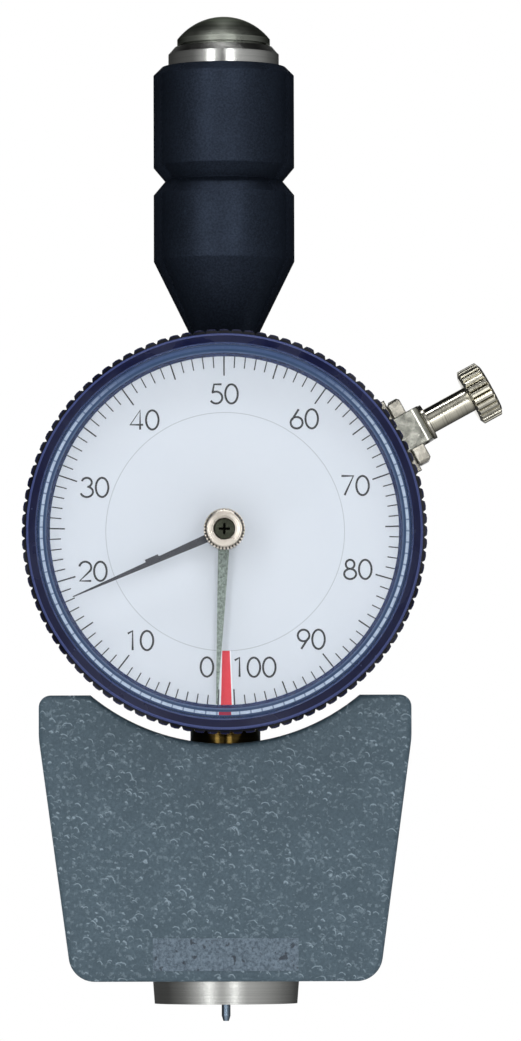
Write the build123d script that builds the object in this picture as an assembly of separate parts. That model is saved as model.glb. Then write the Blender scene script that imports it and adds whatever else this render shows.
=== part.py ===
from build123d import *
import os
from math import acos, cos, degrees, hypot, pi, radians, sin, sqrt, tan

# Dial-type hardness tester (durometer) with a peak-hold pointer, in millimetres.
# Heights are written above the presser foot's face and the spindle's axis is the
# line x = y = 0. The dial faces -Y and the indenter points down. At the very end
# every piece moves down by GRIP_HOLD_Z, so that the part's origin is where a
# stand's arm holds the grip. Each solid is one piece of the real instrument.

# ---------------------------------------------------------------- driving sizes
# Fits and gaps
RUN_FIT = 0.04           # radial clearance of a shaft in its bearing
SEAT_FIT = 0.01          # radial clearance of a pushed or screwed seat
RIM_FIT = 0.08           # radial clearance of the bezel on the case rim
SLIDE_GAP = 0.2          # gap between faces that move past each other
TURN_GAP = 0.1           # gap beside a part that only turns

# Indenter, presser foot and spindle
TRAVEL = 2.5             # indenter travel from 0 to 100, and its projection
INDENTER_D = 1.25
INDENTER_TIP_D = 0.79
INDENTER_TIP_ANGLE = 35.0
INDENTER_GRIPPED = 4.4   # length of the indenter inside its holder
FOOT_R = 10.4
FOOT_FLANGE_H = 3.25
FOOT_TAPER = 0.25        # the flange is this much smaller in radius at its face
FOOT_HOLE_D = 3.0
FOOT_FLOOR_H = 1.5       # metal under the holder
FOOT_SPIGOT_H = 5.3
FOOT_SPIGOT_R = 7.9
FOOT_WALL = 2.7
HOLDER_R = 3.0
HOLDER_H = 6.4
HOLDER_FLANGE_R = 4.3
HOLDER_FLANGE_H = 1.6
SPINDLE_R = 2.0
SPINDLE_SPIGOT_R = 1.3
SPINDLE_SPIGOT_H = 1.9
SPINDLE_TOP_GAP = 3.4    # air above the spindle's top at rest
SPINDLE_TOP_CHAMFER = 0.5

# Calibrated spring
SEAT_R = 4.9
SEAT_H = 1.6
SEAT_RISE = 1.0          # underside of the seat above the holder
SPRING_MEAN_R = 3.95
SPRING_WIRE_R = 0.7
SPRING_PITCH = 2.12
SPRING_END_GAP = 0.03

# Body block
BLOCK_TOP_WIDTH = 52.6
BLOCK_DEPTH = 22.6
BLOCK_HEIGHT = 40.35
BLOCK_STRAIGHT_H = 6.1   # height of the vertical shoulders
BLOCK_DRAFT = 7.7        # lean of the sides below the shoulders, degrees
BLOCK_TOP_CORNER_R = 1.7
BLOCK_KINK_R = 12.0
BLOCK_FOOT_CORNER_R = 3.7
BLOCK_EDGE_R = 0.8
SADDLE_GAP = 1.2         # air between the knurl and the saddle
CHAMBER_R = 8.3
CHAMBER_WEB = 8.8        # metal between the spring chamber and the saddle
GRUB_R = 1.5
GRUB_L = 5.2
GRUB_SOCKET_R = 0.75
GRUB_SOCKET_DEPTH = 1.6
LABEL_W = 20.5
LABEL_H = 4.6
LABEL_T = 0.08
LABEL_RISE = 1.5         # label's lower edge above the block's underside

# Stem between block and case
STEM_R = 5.0
STEM_PROUD = 2.6         # stem length above the case boss, for its nut
STEM_NUT_FLATS = 11.0
STEM_NUT_H = 2.2
ADJUSTER_R = 6.8
ADJUSTER_RIM_H = 3.6
ADJUSTER_WEB = 1.5
ADJUSTER_NOTCHES = 8
ADJUSTER_NOTCH_R = 0.6

# Dial height and bezel
DIAL_HEIGHT = 66.5       # dial centre above the foot's face
BEZEL_D = 57.1           # over the knurl
BEZEL_LIP_R = 27.85
BEZEL_SLOPE = 0.45       # how far the face falls back from inner to outer edge
BEZEL_FACE_IN_R = 26.5
BEZEL_INNER_CHAMFER = 0.16
BEZEL_OUTER_CHAMFER = 0.2
KNURL_TEETH = 100
KNURL_DEPTH = 0.5
KNURL_LAND = 0.62        # a knurl's land as a share of its pitch
KNURL_CROWN = 0.12       # how far a land's ends fall back, as a share of the depth
KNURL_FLANGE_T = 2.6
KNURL_SETBACK = 1.45     # knurl's front face behind the bezel's front edge
SKIRT_STEP = 1.25        # knurl peak to skirt radius
SKIRT_WALL = 1.02
SKIRT_L = 1.7
SHELF_T = 0.8            # ledge between crystal and dial
SHELF_W = 0.8            # width of that ledge under the dial
CRYSTAL_T = 1.2
CRYSTAL_PROUD = 1.65     # crystal's face in front of the bezel
CRYSTAL_SHOULDER = 1.35
CRYSTAL_EDGE_R = 0.5
DIAL_T = 0.4
DIAL_HOLE_R = 1.7
DIAL_RING_T = 0.4
DIAL_RING_W = 1.6
SNAP_T = 0.5             # wire ring that keeps the bezel on
SNAP_IN = 0.5
SNAP_OUT = 0.35
SNAP_SETBACK = 1.0
SNAP_OPENING = 2.0

# Case
RIM_STEP = 0.7
CASE_WALL = 4.1
PLATE_SEAT_W = 2.8
RIM_DEPTH = 2.3          # from the front plate's face to the rim's front edge
RIM_L = 2.9
CASE_BACK_Y = 8.6
CASE_BACK_CHAMFER = 0.8
BOSS_R = 7.0
BOSS_RISE = 1.5          # boss faces beyond the case wall
BOSS_PAD = 1.1           # boss faces inside the case wall
COVER_T = 1.3
GASKET_T = 0.3
COVER_SCREWS = 4
COVER_SCREW_ANGLE = 45.0
SCREW_SHANK_R = 0.7
SCREW_HEAD_R = 1.25
SCREW_HEAD_T = 0.7
SCREW_DEPTH = 3.2
SLOT_W = 0.35
SLOT_DEPTH = 0.3
SLOT_FIRST_TURN = 35.0   # screw slots stand as they were left, each its own way
SLOT_NEXT_TURN = 70.0

# Movement
PLATE_T = 1.0
PLATE_SPACE = 4.8        # between the two plates
SPINDLE_TO_PLATE = 1.6
REAR_PLATE_R = 16.5
PILLARS = 3
PILLAR_R = 1.5
PILLAR_INSET = 1.7       # pillar's centre inside the rear plate's edge
PILLAR_FIRST_ANGLE = 50.0
PLATE_SCREWS = 3
PLATE_SCREW_ANGLE = 90.0
PRESSURE_ANGLE = 25.0
ADDENDUM = 0.8           # in modules
DEDENDUM = 1.05          # in modules
BACKLASH = 0.16          # in modules
WHEEL_MODULE = 0.25
WHEEL_TEETH = 60
PINION_TEETH = 15
RACK_PINION_TEETH = 12
RACK_TEETH_BELOW = 6
RACK_TEETH_ABOVE = 3
RACK_TIP_X = 1.75        # flat of the rack from the spindle's axis
DIAL_SWEEP = 354.5       # pointer turn for the full travel, degrees
WHEEL_T = 0.8
WHEEL_SETBACK = 0.8      # wheel behind the front plate
WHEEL_WINDOWS = 6
WHEEL_WINDOW_R = 1.45
WHEEL_WINDOW_PITCH_R = 4.3
TAKE_UP_ANGLE = 225.0
PIVOT_R = 0.5
ARBOR_R = 0.9
CENTRE_PIVOT_R = 0.6
SHOULDER_GAP = 0.1
BUSH_R = 1.3
RACK_PINION_T = 2.4
GUIDE_PIN_R = 0.5
GUIDE_PIN_DROP = 11.5    # guide pin below the dial centre
COLLET_R = 1.5
COLLET_T = 0.9
HAIR_START_GAP = 0.1
HAIR_TURNS = 3
HAIR_FACETS = 14         # in each turn
HAIR_PITCH = 1.0
HAIR_T = 0.16
HAIR_W = 0.6
STUD_R = 0.55

# Pointers, dial figures in degrees and lengths from the dial centre
DIAL_TO_POINTER = 1.45   # dial face to the main pointer's back
POINTER_T = 0.2
POINTER_L = 24.4
POINTER_ROOT_W = 1.72
POINTER_WAIST_L = 9.7
POINTER_WAIST_W = 1.15
POINTER_TIP_W = 0.2
POINTER_TAIL_R = 1.75
POINTER_HUB_R = 1.3
POINTER_HUB_L = 1.85
POINTER_SPACE = 3.1      # dial face to the crystal's inner face
PEAK_POINTER_L = 23.2
PEAK_ROOT_W = 1.26
PEAK_TIP_W = 0.16
PEAK_READING = 18.0
PEAK_LUG_AT = 10.9
PEAK_LUG_L = 2.0
PEAK_LUG_W = 0.35
PEAK_LUG_DROP = 0.55

# Peak-hold knob
KNOB_R = 2.9
KNOB_L = 3.85
KNOB_TEETH = 36
KNOB_KNURL_DEPTH = 0.16
KNOB_EDGE = 0.3
KNOB_SINK_R = 1.54
KNOB_SINK_DEPTH = 1.2
KNOB_WEB = 0.7
PEAK_SHAFT_R = 0.95
PEAK_FLANGE_R = 1.7
PEAK_FLANGE_T = 0.4
PEAK_END_GAP = 0.05
KNOB_STAND_OFF = 0.35
WASHER_R = 2.2
WASHER_T = 0.25
PEAK_SCREW_R = 0.5
PEAK_SCREW_L = 2.4
PEAK_SCREW_HEAD_R = 1.38
PEAK_SCREW_HEAD_T = 0.8
CROSS_W = 0.36
CROSS_L = 1.6
CROSS_DEPTH = 0.45

# Grip and cap
GRIP_R = 10.07
GRIP_NECK_R = 5.0
GRIP_NECK_L = 2.1
GRIP_CONE_ANGLE = 26.2
GRIP_LOWER_L = 9.5
GROOVE_W = 4.0
GROOVE_DEPTH = 1.67
GRIP_UPPER_L = 13.2
GRIP_TOP_CHAMFER = 1.15
GRIP_SPIGOT_R = 4.0
GRIP_SPIGOT_L = 6.0
TOP_BUSH_WALL = 0.6
TOP_BUSH_L = 5.5
CAP_SPIGOT_R = 3.0
CAP_SPIGOT_L = 8.0
COLLAR_R = 7.93
COLLAR_SIDE_H = 1.9
COLLAR_CHAMFER_H = 1.0
COLLAR_CHAMFER_W = 0.85
CAP_GROOVE_R = 6.1
CAP_GROOVE_H = 0.4
CAP_RIM_R = 6.65
CAP_RIM_H = 0.8
CAP_DOME_R = 8.4

# Bezel clamp, on a radius of the dial
CLAMP_ANGLE = 28.7
CLAMP_TRAVEL = 0.4
CLAMP_REACH = 0.45       # strap's edge to the skirt when the clamp is open
CLAMP_BASE_HALF = 5.6
CLAMP_BASE_L = 2.3
CLAMP_BASE_SCREW_T = 4.2
BAR_STANDOFF = 0.25      # bar's inner face outside the knurl
BAR_T = 1.9
BAR_HALF = 4.95
BAR_EDGE = 0.35
STRAP_W = 5.1
STRAP_T = 0.8
STRAP_BEND_R = 1.1
STRAP_TOP_GAP = 1.0      # bar to the strap's web
STRAP_BEHIND_KNURL = 0.2
STRAP_LEG_GAP = 0.2
BAR_L = 5.3
CLAMP_WASHER_R = 2.65
CLAMP_WASHER_T = 0.5
CLAMP_SHANK_R = 1.83
CLAMP_SHANK_L = 6.5
CLAMP_HEAD_R = 4.15
CLAMP_HEAD_L = 3.5
CLAMP_HEAD_TEETH = 26
CLAMP_HEAD_KNURL = 0.4
CLAMP_HEAD_CROWN = 0.75
CLAMP_THREAD_R = 1.45

# ------------------------------------------------------- places that follow
# Up the spindle's axis
HOLDER_Z = FOOT_FLOOR_H + TURN_GAP
HOLDER_TOP_Z = HOLDER_Z + HOLDER_H
SEAT_Z = HOLDER_TOP_Z + SEAT_RISE
SEAT_TOP_Z = SEAT_Z + SEAT_H
SPIGOT_TOP_Z = FOOT_FLANGE_H + FOOT_SPIGOT_H
KNURL_R = BEZEL_D / 2
SADDLE_R = KNURL_R + SADDLE_GAP
SADDLE_Z = DIAL_HEIGHT - SADDLE_R
BLOCK_TOP_Z = FOOT_FLANGE_H + BLOCK_HEIGHT
CHAMBER_TOP_Z = SADDLE_Z - CHAMBER_WEB
ADJUSTER_TOP_Z = CHAMBER_TOP_Z - SLIDE_GAP
STEM_SEAT_Z = ADJUSTER_TOP_Z - ADJUSTER_RIM_H
SPRING_TOP_Z = STEM_SEAT_Z - ADJUSTER_WEB
SPRING_LENGTH = SPRING_TOP_Z - SEAT_TOP_Z
STEM_Z = STEM_SEAT_Z + SLIDE_GAP

# Out from the dial's centre
SKIRT_R = KNURL_R - SKIRT_STEP
RIM_R = SKIRT_R - SKIRT_WALL - RIM_FIT
CASE_R = RIM_R - RIM_STEP
CASE_IN_R = CASE_R - CASE_WALL
PLATE_R = CASE_IN_R + PLATE_SEAT_W
SCREW_PITCH_R = CASE_IN_R + PLATE_SEAT_W / 2
PILLAR_PITCH_R = REAR_PLATE_R - PILLAR_INSET
CRYSTAL_R = BEZEL_FACE_IN_R - 2 * RIM_FIT
DIAL_R = RIM_R - RIM_FIT - DIAL_T / 2
BOSS_FOOT_Z = DIAL_HEIGHT - CASE_R - BOSS_RISE
BOSS_SEAT_Z = DIAL_HEIGHT - CASE_IN_R + BOSS_PAD
BOSS_TOP_Z = DIAL_HEIGHT + CASE_R + BOSS_RISE
BOSS_ROOF_Z = DIAL_HEIGHT + CASE_IN_R - BOSS_PAD
STEM_TOP_Z = BOSS_SEAT_Z + STEM_PROUD

# Back to front along the dial's axis
REAR_PLATE_Y = -(SPINDLE_R + SPINDLE_TO_PLATE)
REAR_PLATE_FRONT_Y = REAR_PLATE_Y - PLATE_T
FRONT_PLATE_Y = REAR_PLATE_FRONT_Y - PLATE_SPACE
FRONT_PLATE_FRONT_Y = FRONT_PLATE_Y - PLATE_T
RIM_FRONT_Y = FRONT_PLATE_FRONT_Y - RIM_DEPTH
DIAL_RING_Y = RIM_FRONT_Y - SLIDE_GAP
DIAL_BACK_Y = DIAL_RING_Y - DIAL_RING_T
DIAL_Y = DIAL_BACK_Y - DIAL_T
SHELF_Y = DIAL_Y - SHELF_T
CRYSTAL_IN_Y = DIAL_Y - POINTER_SPACE
CRYSTAL_Y = CRYSTAL_IN_Y - CRYSTAL_T
BEZEL_Y = CRYSTAL_Y + CRYSTAL_PROUD
KNURL_Y = BEZEL_Y + KNURL_SETBACK
KNURL_BACK_Y = KNURL_Y + KNURL_FLANGE_T
SKIRT_BACK_Y = KNURL_BACK_Y + SKIRT_L
SNAP_Y = RIM_FRONT_Y + SNAP_SETBACK
POINTER_Y = DIAL_Y - DIAL_TO_POINTER
KNOB_BACK_Y = CRYSTAL_Y - KNOB_STAND_OFF
KNOB_Y = KNOB_BACK_Y - KNOB_L
PEAK_FLANGE_Y = CRYSTAL_IN_Y + PEAK_END_GAP
PEAK_BLADE_Y = PEAK_FLANGE_Y + PEAK_FLANGE_T
COVER_SEAT_Y = CASE_BACK_Y - COVER_T - GASKET_T

# Gear train: the rack turns the drive wheel, which turns the centre pinion
WHEEL_R = WHEEL_MODULE * WHEEL_TEETH / 2
PINION_R = WHEEL_MODULE * PINION_TEETH / 2
STEP_UP = WHEEL_TEETH / PINION_TEETH
RACK_PINION_R = STEP_UP * TRAVEL / radians(DIAL_SWEEP)
RACK_MODULE = 2 * RACK_PINION_R / RACK_PINION_TEETH
RACK_PITCH = pi * RACK_MODULE
RACK_LINE_X = RACK_TIP_X - ADDENDUM * RACK_MODULE
WHEEL_CENTRES = WHEEL_R + PINION_R
DRIVE_X = -(RACK_LINE_X + RACK_PINION_R)
DRIVE_Z = DIAL_HEIGHT + sqrt(WHEEL_CENTRES**2 - DRIVE_X**2)
TAKE_UP_X = WHEEL_CENTRES * cos(radians(TAKE_UP_ANGLE))
TAKE_UP_Z = DIAL_HEIGHT + WHEEL_CENTRES * sin(radians(TAKE_UP_ANGLE))
WHEEL_Y = FRONT_PLATE_Y + WHEEL_SETBACK
WHEEL_BACK_Y = WHEEL_Y + WHEEL_T
GUIDE_PIN_Z = DIAL_HEIGHT - GUIDE_PIN_DROP
ZERO_ANGLE = (360 - DIAL_SWEEP) / 2

# Up the grip
GRIP_Z = BOSS_TOP_Z
CONE_Z = GRIP_Z + GRIP_NECK_L
CONE_TOP_Z = CONE_Z + (GRIP_R - GRIP_NECK_R) / tan(radians(GRIP_CONE_ANGLE))
GROOVE_Z = CONE_TOP_Z + GRIP_LOWER_L
UPPER_Z = GROOVE_Z + GROOVE_W
GRIP_TOP_Z = UPPER_Z + GRIP_UPPER_L + GRIP_TOP_CHAMFER
GRIP_HOLD_Z = UPPER_Z + GRIP_UPPER_L / 2
SPIGOT_Z = GRIP_Z - GRIP_SPIGOT_L
TOP_BUSH_R = SPINDLE_R + RUN_FIT + TOP_BUSH_WALL
SPINDLE_BORE_TOP_Z = CONE_Z
SPINDLE_TOP_Z = SPINDLE_BORE_TOP_Z - SPINDLE_TOP_GAP

# Out along the clamp's radius
STRAP_FRONT_Y = KNURL_BACK_Y + STRAP_BEHIND_KNURL
STRAP_LEG_BACK_Y = STRAP_FRONT_Y + STRAP_T
BAR_Y = STRAP_LEG_BACK_Y + STRAP_LEG_GAP
BAR_BACK_Y = BAR_Y + BAR_L
STRAP_BACK_Y = BAR_BACK_Y + STRAP_LEG_GAP + STRAP_T
CLAMP_Y = (BAR_Y + BAR_BACK_Y) / 2
BAR_R = KNURL_R + BAR_STANDOFF
BAR_TOP_R = BAR_R + BAR_T
WEB_R = BAR_TOP_R + STRAP_TOP_GAP
WEB_TOP_R = WEB_R + STRAP_T
SHANK_R = WEB_TOP_R + CLAMP_WASHER_T
HEAD_R = SHANK_R + CLAMP_SHANK_L
THREAD_END_R = BAR_R + CLAMP_TRAVEL + TURN_GAP


# ------------------------------------------------------------------ small makers
def turned(profile):
    """A solid turned about the spindle's axis; the profile holds (radius, height) points."""
    return revolve(Plane.XZ * make_face(Polyline(*profile, close=True)), Axis.Z)


def faced(profile, x=0.0, z=DIAL_HEIGHT):
    """A solid turned about a line along Y; the profile holds (radius, y) points."""
    return Pos(x, 0, z) * revolve(make_face(Polyline(*profile, close=True)), Axis.Y)


def disc(radius, front_y, back_y, x=0.0, z=DIAL_HEIGHT, bore=0.0):
    """A plain disc, rod or washer along Y."""
    return faced([(bore, front_y), (radius, front_y), (radius, back_y), (bore, back_y)], x, z)


def post(radius, bottom_z, top_z, bore=0.0):
    """A plain disc, rod or washer on the spindle's axis."""
    return turned([(bore, bottom_z), (radius, bottom_z), (radius, top_z), (bore, top_z)])


def cut_from(front_y, back_y, outline, x=0.0, z=DIAL_HEIGHT):
    """An outline of (x, z) points made solid between two values of y."""
    face = Plane.XZ.offset(-back_y) * make_face(Polyline(*outline, close=True))
    return Pos(x, 0, z) * extrude(face, back_y - front_y)


def on_circle(radius, count, first_angle=0.0):
    """Points (x, z) evenly round a circle about the dial's centre line."""
    angles = [radians(first_angle + 360 * i / count) for i in range(count)]
    return [(radius * cos(a), radius * sin(a)) for a in angles]


def knurl_outline(radius, teeth, depth):
    """Outline of a straight knurl: crowned lands with notches between them."""
    points = []
    pitch = 2 * pi / teeth
    half_land, end_drop = pitch * KNURL_LAND / 2, depth * KNURL_CROWN
    stations = [(-pitch / 2, depth), (-half_land, end_drop), (0, 0), (half_land, end_drop)]
    for tooth in range(teeth):
        for aside, drop in stations:
            angle = pitch * tooth + aside
            points.append(((radius - drop) * cos(angle), (radius - drop) * sin(angle)))
    return points


def gear_outline(teeth, module, phase, flank_steps):
    """Outline of an involute gear; phase is the angle of one tooth's centre, in radians."""
    pitch_r = teeth * module / 2
    base_r = pitch_r * cos(radians(PRESSURE_ANGLE))
    tip_r = pitch_r + ADDENDUM * module
    root_r = pitch_r - DEDENDUM * module
    half_at_pitch = (pi - BACKLASH) * module / 4 / pitch_r
    start_r = max(base_r, root_r)

    def involute(radius):
        angle = acos(min(1.0, base_r / radius))
        return tan(angle) - angle

    radii = [start_r + (tip_r - start_r) * i / flank_steps for i in range(flank_steps + 1)]
    if root_r < base_r:
        radii.insert(0, root_r)
    halves = [half_at_pitch + involute(pitch_r) - involute(max(r, base_r)) for r in radii]
    points = []
    for tooth in range(teeth):
        centre = phase + 2 * pi * tooth / teeth
        flank = [(r, centre - h) for r, h in zip(radii, halves)]
        flank += [(r, centre + h) for r, h in reversed(list(zip(radii, halves)))]
        points += [(r * cos(a), r * sin(a)) for r, a in flank]
    return points


def slotted_screw(x, z, seat_y, point_y, place=0):
    """A cheese-head screw along Y, head on seat_y; place counts the screws of its set."""
    out = -1 if point_y > seat_y else 1
    top_y = seat_y + out * SCREW_HEAD_T
    low_y, high_y = sorted((seat_y, top_y))
    shank_low, shank_high = sorted((seat_y, point_y))
    screw = disc(SCREW_HEAD_R, low_y, high_y, x, z)
    screw += disc(SCREW_SHANK_R - SEAT_FIT, shank_low, shank_high, x, z)
    slot = Box(2 * SCREW_HEAD_R + SLOT_W, 2 * SLOT_DEPTH, SLOT_W)
    turn = SLOT_FIRST_TURN + SLOT_NEXT_TURN * place
    return screw - Pos(x, top_y, z) * Rot(0, turn, 0) * slot


def group(solids):
    """Like pieces that share a node, each still a solid of its own."""
    return Compound(children=list(solids))


# ------------------------------------------------------------ foot and spindle
def presser_foot():
    """Turned foot: ground face, central hole, and a spigot that screws into the block."""
    cavity_r = FOOT_SPIGOT_R - FOOT_WALL
    return turned([
        (FOOT_HOLE_D / 2, 0), (FOOT_R - FOOT_TAPER, 0), (FOOT_R, FOOT_FLANGE_H),
        (FOOT_SPIGOT_R, FOOT_FLANGE_H), (FOOT_SPIGOT_R, SPIGOT_TOP_Z), (cavity_r, SPIGOT_TOP_Z),
        (cavity_r, FOOT_FLOOR_H), (FOOT_HOLE_D / 2, FOOT_FLOOR_H),
    ])


def indenter():
    """Hardened pin with a truncated cone for a point."""
    radius, tip_r = INDENTER_D / 2, INDENTER_TIP_D / 2
    cone_h = (radius - tip_r) / tan(radians(INDENTER_TIP_ANGLE / 2))
    return turned([
        (0, -TRAVEL), (tip_r, -TRAVEL), (radius, cone_h - TRAVEL),
        (radius, HOLDER_Z + INDENTER_GRIPPED), (0, HOLDER_Z + INDENTER_GRIPPED),
    ])


def indenter_holder():
    """Flanged holder: grips the indenter below and screws onto the spindle above."""
    bore_r, top_bore_r = INDENTER_D / 2 + SEAT_FIT, SPINDLE_SPIGOT_R + SEAT_FIT
    gripped_z = HOLDER_Z + INDENTER_GRIPPED
    return turned([
        (bore_r, HOLDER_Z), (HOLDER_FLANGE_R, HOLDER_Z),
        (HOLDER_FLANGE_R, HOLDER_Z + HOLDER_FLANGE_H), (HOLDER_R, HOLDER_Z + HOLDER_FLANGE_H),
        (HOLDER_R, HOLDER_TOP_Z), (top_bore_r, HOLDER_TOP_Z), (top_bore_r, gripped_z),
        (bore_r, gripped_z),
    ])


def spindle():
    """Long spindle with a spigot for the holder and rack teeth beside the drive pinion."""
    spigot_z = HOLDER_TOP_Z - SPINDLE_SPIGOT_H
    rod = turned([
        (0, spigot_z), (SPINDLE_SPIGOT_R, spigot_z), (SPINDLE_SPIGOT_R, HOLDER_TOP_Z),
        (SPINDLE_R, HOLDER_TOP_Z), (SPINDLE_R, SPINDLE_TOP_Z - SPINDLE_TOP_CHAMFER),
        (SPINDLE_R - SPINDLE_TOP_CHAMFER, SPINDLE_TOP_Z), (0, SPINDLE_TOP_Z),
    ])
    below, above = RACK_TEETH_BELOW * RACK_PITCH, RACK_TEETH_ABOVE * RACK_PITCH
    flat_x = -RACK_TIP_X - SPINDLE_R / 2
    rod -= Pos(flat_x, 0, DRIVE_Z + (above - below) / 2) * Box(SPINDLE_R, 2 * SPINDLE_R, above + below)
    lean = tan(radians(PRESSURE_ANGLE))
    half = (pi + BACKLASH) * RACK_MODULE / 4
    tip, root = ADDENDUM * RACK_MODULE, DEDENDUM * RACK_MODULE
    mouth = SPINDLE_R - RACK_LINE_X
    space = [
        (-RACK_LINE_X - mouth, half + mouth * lean), (-RACK_LINE_X + root, half - root * lean),
        (-RACK_LINE_X + root, root * lean - half), (-RACK_LINE_X - mouth, -half - mouth * lean),
    ]
    for step in range(1 - RACK_TEETH_BELOW, RACK_TEETH_ABOVE):
        rod -= cut_from(-SPINDLE_R, SPINDLE_R, space, 0, DRIVE_Z + step * RACK_PITCH)
    pin_hole = disc(GUIDE_PIN_R, -SPINDLE_R - SLIDE_GAP, 0, 0, GUIDE_PIN_Z)
    return rod - pin_hole


def spring_seat():
    """Collar on the spindle that the calibrated spring presses down."""
    return post(SEAT_R, SEAT_Z, SEAT_TOP_Z, SPINDLE_R + SEAT_FIT)


def guide_pin():
    """Pin in the spindle; it runs in the rear plate's slot and keeps the rack from turning."""
    return disc(GUIDE_PIN_R, REAR_PLATE_FRONT_Y, 0, 0, GUIDE_PIN_Z)


def calibrated_spring():
    """Helical spring between the spindle's seat and the adjuster."""
    wire_end = SPRING_WIRE_R + SPRING_END_GAP
    height = SPRING_LENGTH - 2 * wire_end
    path = Pos(0, 0, SEAT_TOP_Z + wire_end) * Helix(SPRING_PITCH, height, SPRING_MEAN_R)
    section = Plane(path @ 0, z_dir=path % 0) * Circle(SPRING_WIRE_R)
    return sweep(section, path, is_frenet=True)


# -------------------------------------------------------------- block and stem
def body_block():
    """Cast block: drafted sides, round saddle for the bezel, spring chamber and bores."""
    half, top = BLOCK_TOP_WIDTH / 2, BLOCK_TOP_Z
    kink = top - BLOCK_STRAIGHT_H
    foot_half = half - (kink - FOOT_FLANGE_H) * tan(radians(BLOCK_DRAFT))
    outline = Polyline(
        (-foot_half, FOOT_FLANGE_H), (foot_half, FOOT_FLANGE_H), (half, kink), (half, top),
        (-half, top), (-half, kink), close=True,
    )
    face = make_face(outline)
    corners = face.vertices()
    face = fillet(corners.filter_by(lambda v: abs(v.Y - FOOT_FLANGE_H) < RUN_FIT), BLOCK_FOOT_CORNER_R)
    kinks = face.vertices().filter_by(lambda v: abs(v.Y - kink) < RUN_FIT)
    face = fillet(kinks, BLOCK_KINK_R)
    tops = face.vertices().filter_by(lambda v: abs(v.Y - top) < RUN_FIT)
    face = fillet(tops, BLOCK_TOP_CORNER_R)
    face -= Pos(0, DIAL_HEIGHT) * Circle(SADDLE_R)
    block = extrude(Plane.XZ * face, BLOCK_DEPTH / 2, both=True)
    ends = block.faces().filter_by(Axis.Y)
    block = fillet(ends.edges(), BLOCK_EDGE_R)
    block -= post(FOOT_SPIGOT_R + SEAT_FIT, 0, SPIGOT_TOP_Z)
    block -= post(CHAMBER_R, SPIGOT_TOP_Z, CHAMBER_TOP_Z)
    block -= post(STEM_R + SEAT_FIT, CHAMBER_TOP_Z, BLOCK_TOP_Z)
    grub_hole = disc(GRUB_R + SEAT_FIT, 0, BLOCK_DEPTH / 2, 0, grub_height())
    return block - grub_hole


def grub_height():
    """Height of the grub screw, half-way up the web that holds the stem."""
    return (CHAMBER_TOP_Z + SADDLE_Z) / 2


def stem_grub_screw():
    """Socket grub screw behind the block that locks the stem."""
    tip_y = STEM_R + SEAT_FIT
    screw = disc(GRUB_R, tip_y, tip_y + GRUB_L, 0, grub_height())
    socket = Plane.XZ.offset(-(tip_y + GRUB_L)) * RegularPolygon(GRUB_SOCKET_R, 6)
    return screw - Pos(0, 0, grub_height()) * extrude(socket, GRUB_SOCKET_DEPTH)


def label_strip():
    """Bare film label on the block's face."""
    low = FOOT_FLANGE_H + LABEL_RISE
    outline = [(-LABEL_W / 2, low), (LABEL_W / 2, low), (LABEL_W / 2, low + LABEL_H),
               (-LABEL_W / 2, low + LABEL_H)]
    return cut_from(-BLOCK_DEPTH / 2 - LABEL_T, -BLOCK_DEPTH / 2, outline, 0, 0)


def stem():
    """Brass tube that joins block and case and guides the spindle."""
    return post(STEM_R, STEM_Z, STEM_TOP_Z, SPINDLE_R + RUN_FIT)


def stem_nut():
    """Hexagon nut that pulls the stem into the case boss."""
    hexagon = RegularPolygon(STEM_NUT_FLATS / 2, 6, major_radius=False)
    face = Plane.XY.offset(BOSS_SEAT_Z) * (hexagon - Circle(STEM_R + SEAT_FIT))
    return extrude(face, STEM_NUT_H)


def spring_adjuster():
    """Cap nut on the stem's lower end that the spring bears against."""
    nut = turned([
        (SPINDLE_R + SLIDE_GAP, SPRING_TOP_Z), (ADJUSTER_R, SPRING_TOP_Z),
        (ADJUSTER_R, ADJUSTER_TOP_Z), (STEM_R + SEAT_FIT, ADJUSTER_TOP_Z),
        (STEM_R + SEAT_FIT, STEM_SEAT_Z), (SPINDLE_R + SLIDE_GAP, STEM_SEAT_Z),
    ])
    for x, y in on_circle(ADJUSTER_R, ADJUSTER_NOTCHES):
        nut -= Pos(x, y, 0) * post(ADJUSTER_NOTCH_R, SPRING_TOP_Z, ADJUSTER_TOP_Z)
    return nut


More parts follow.
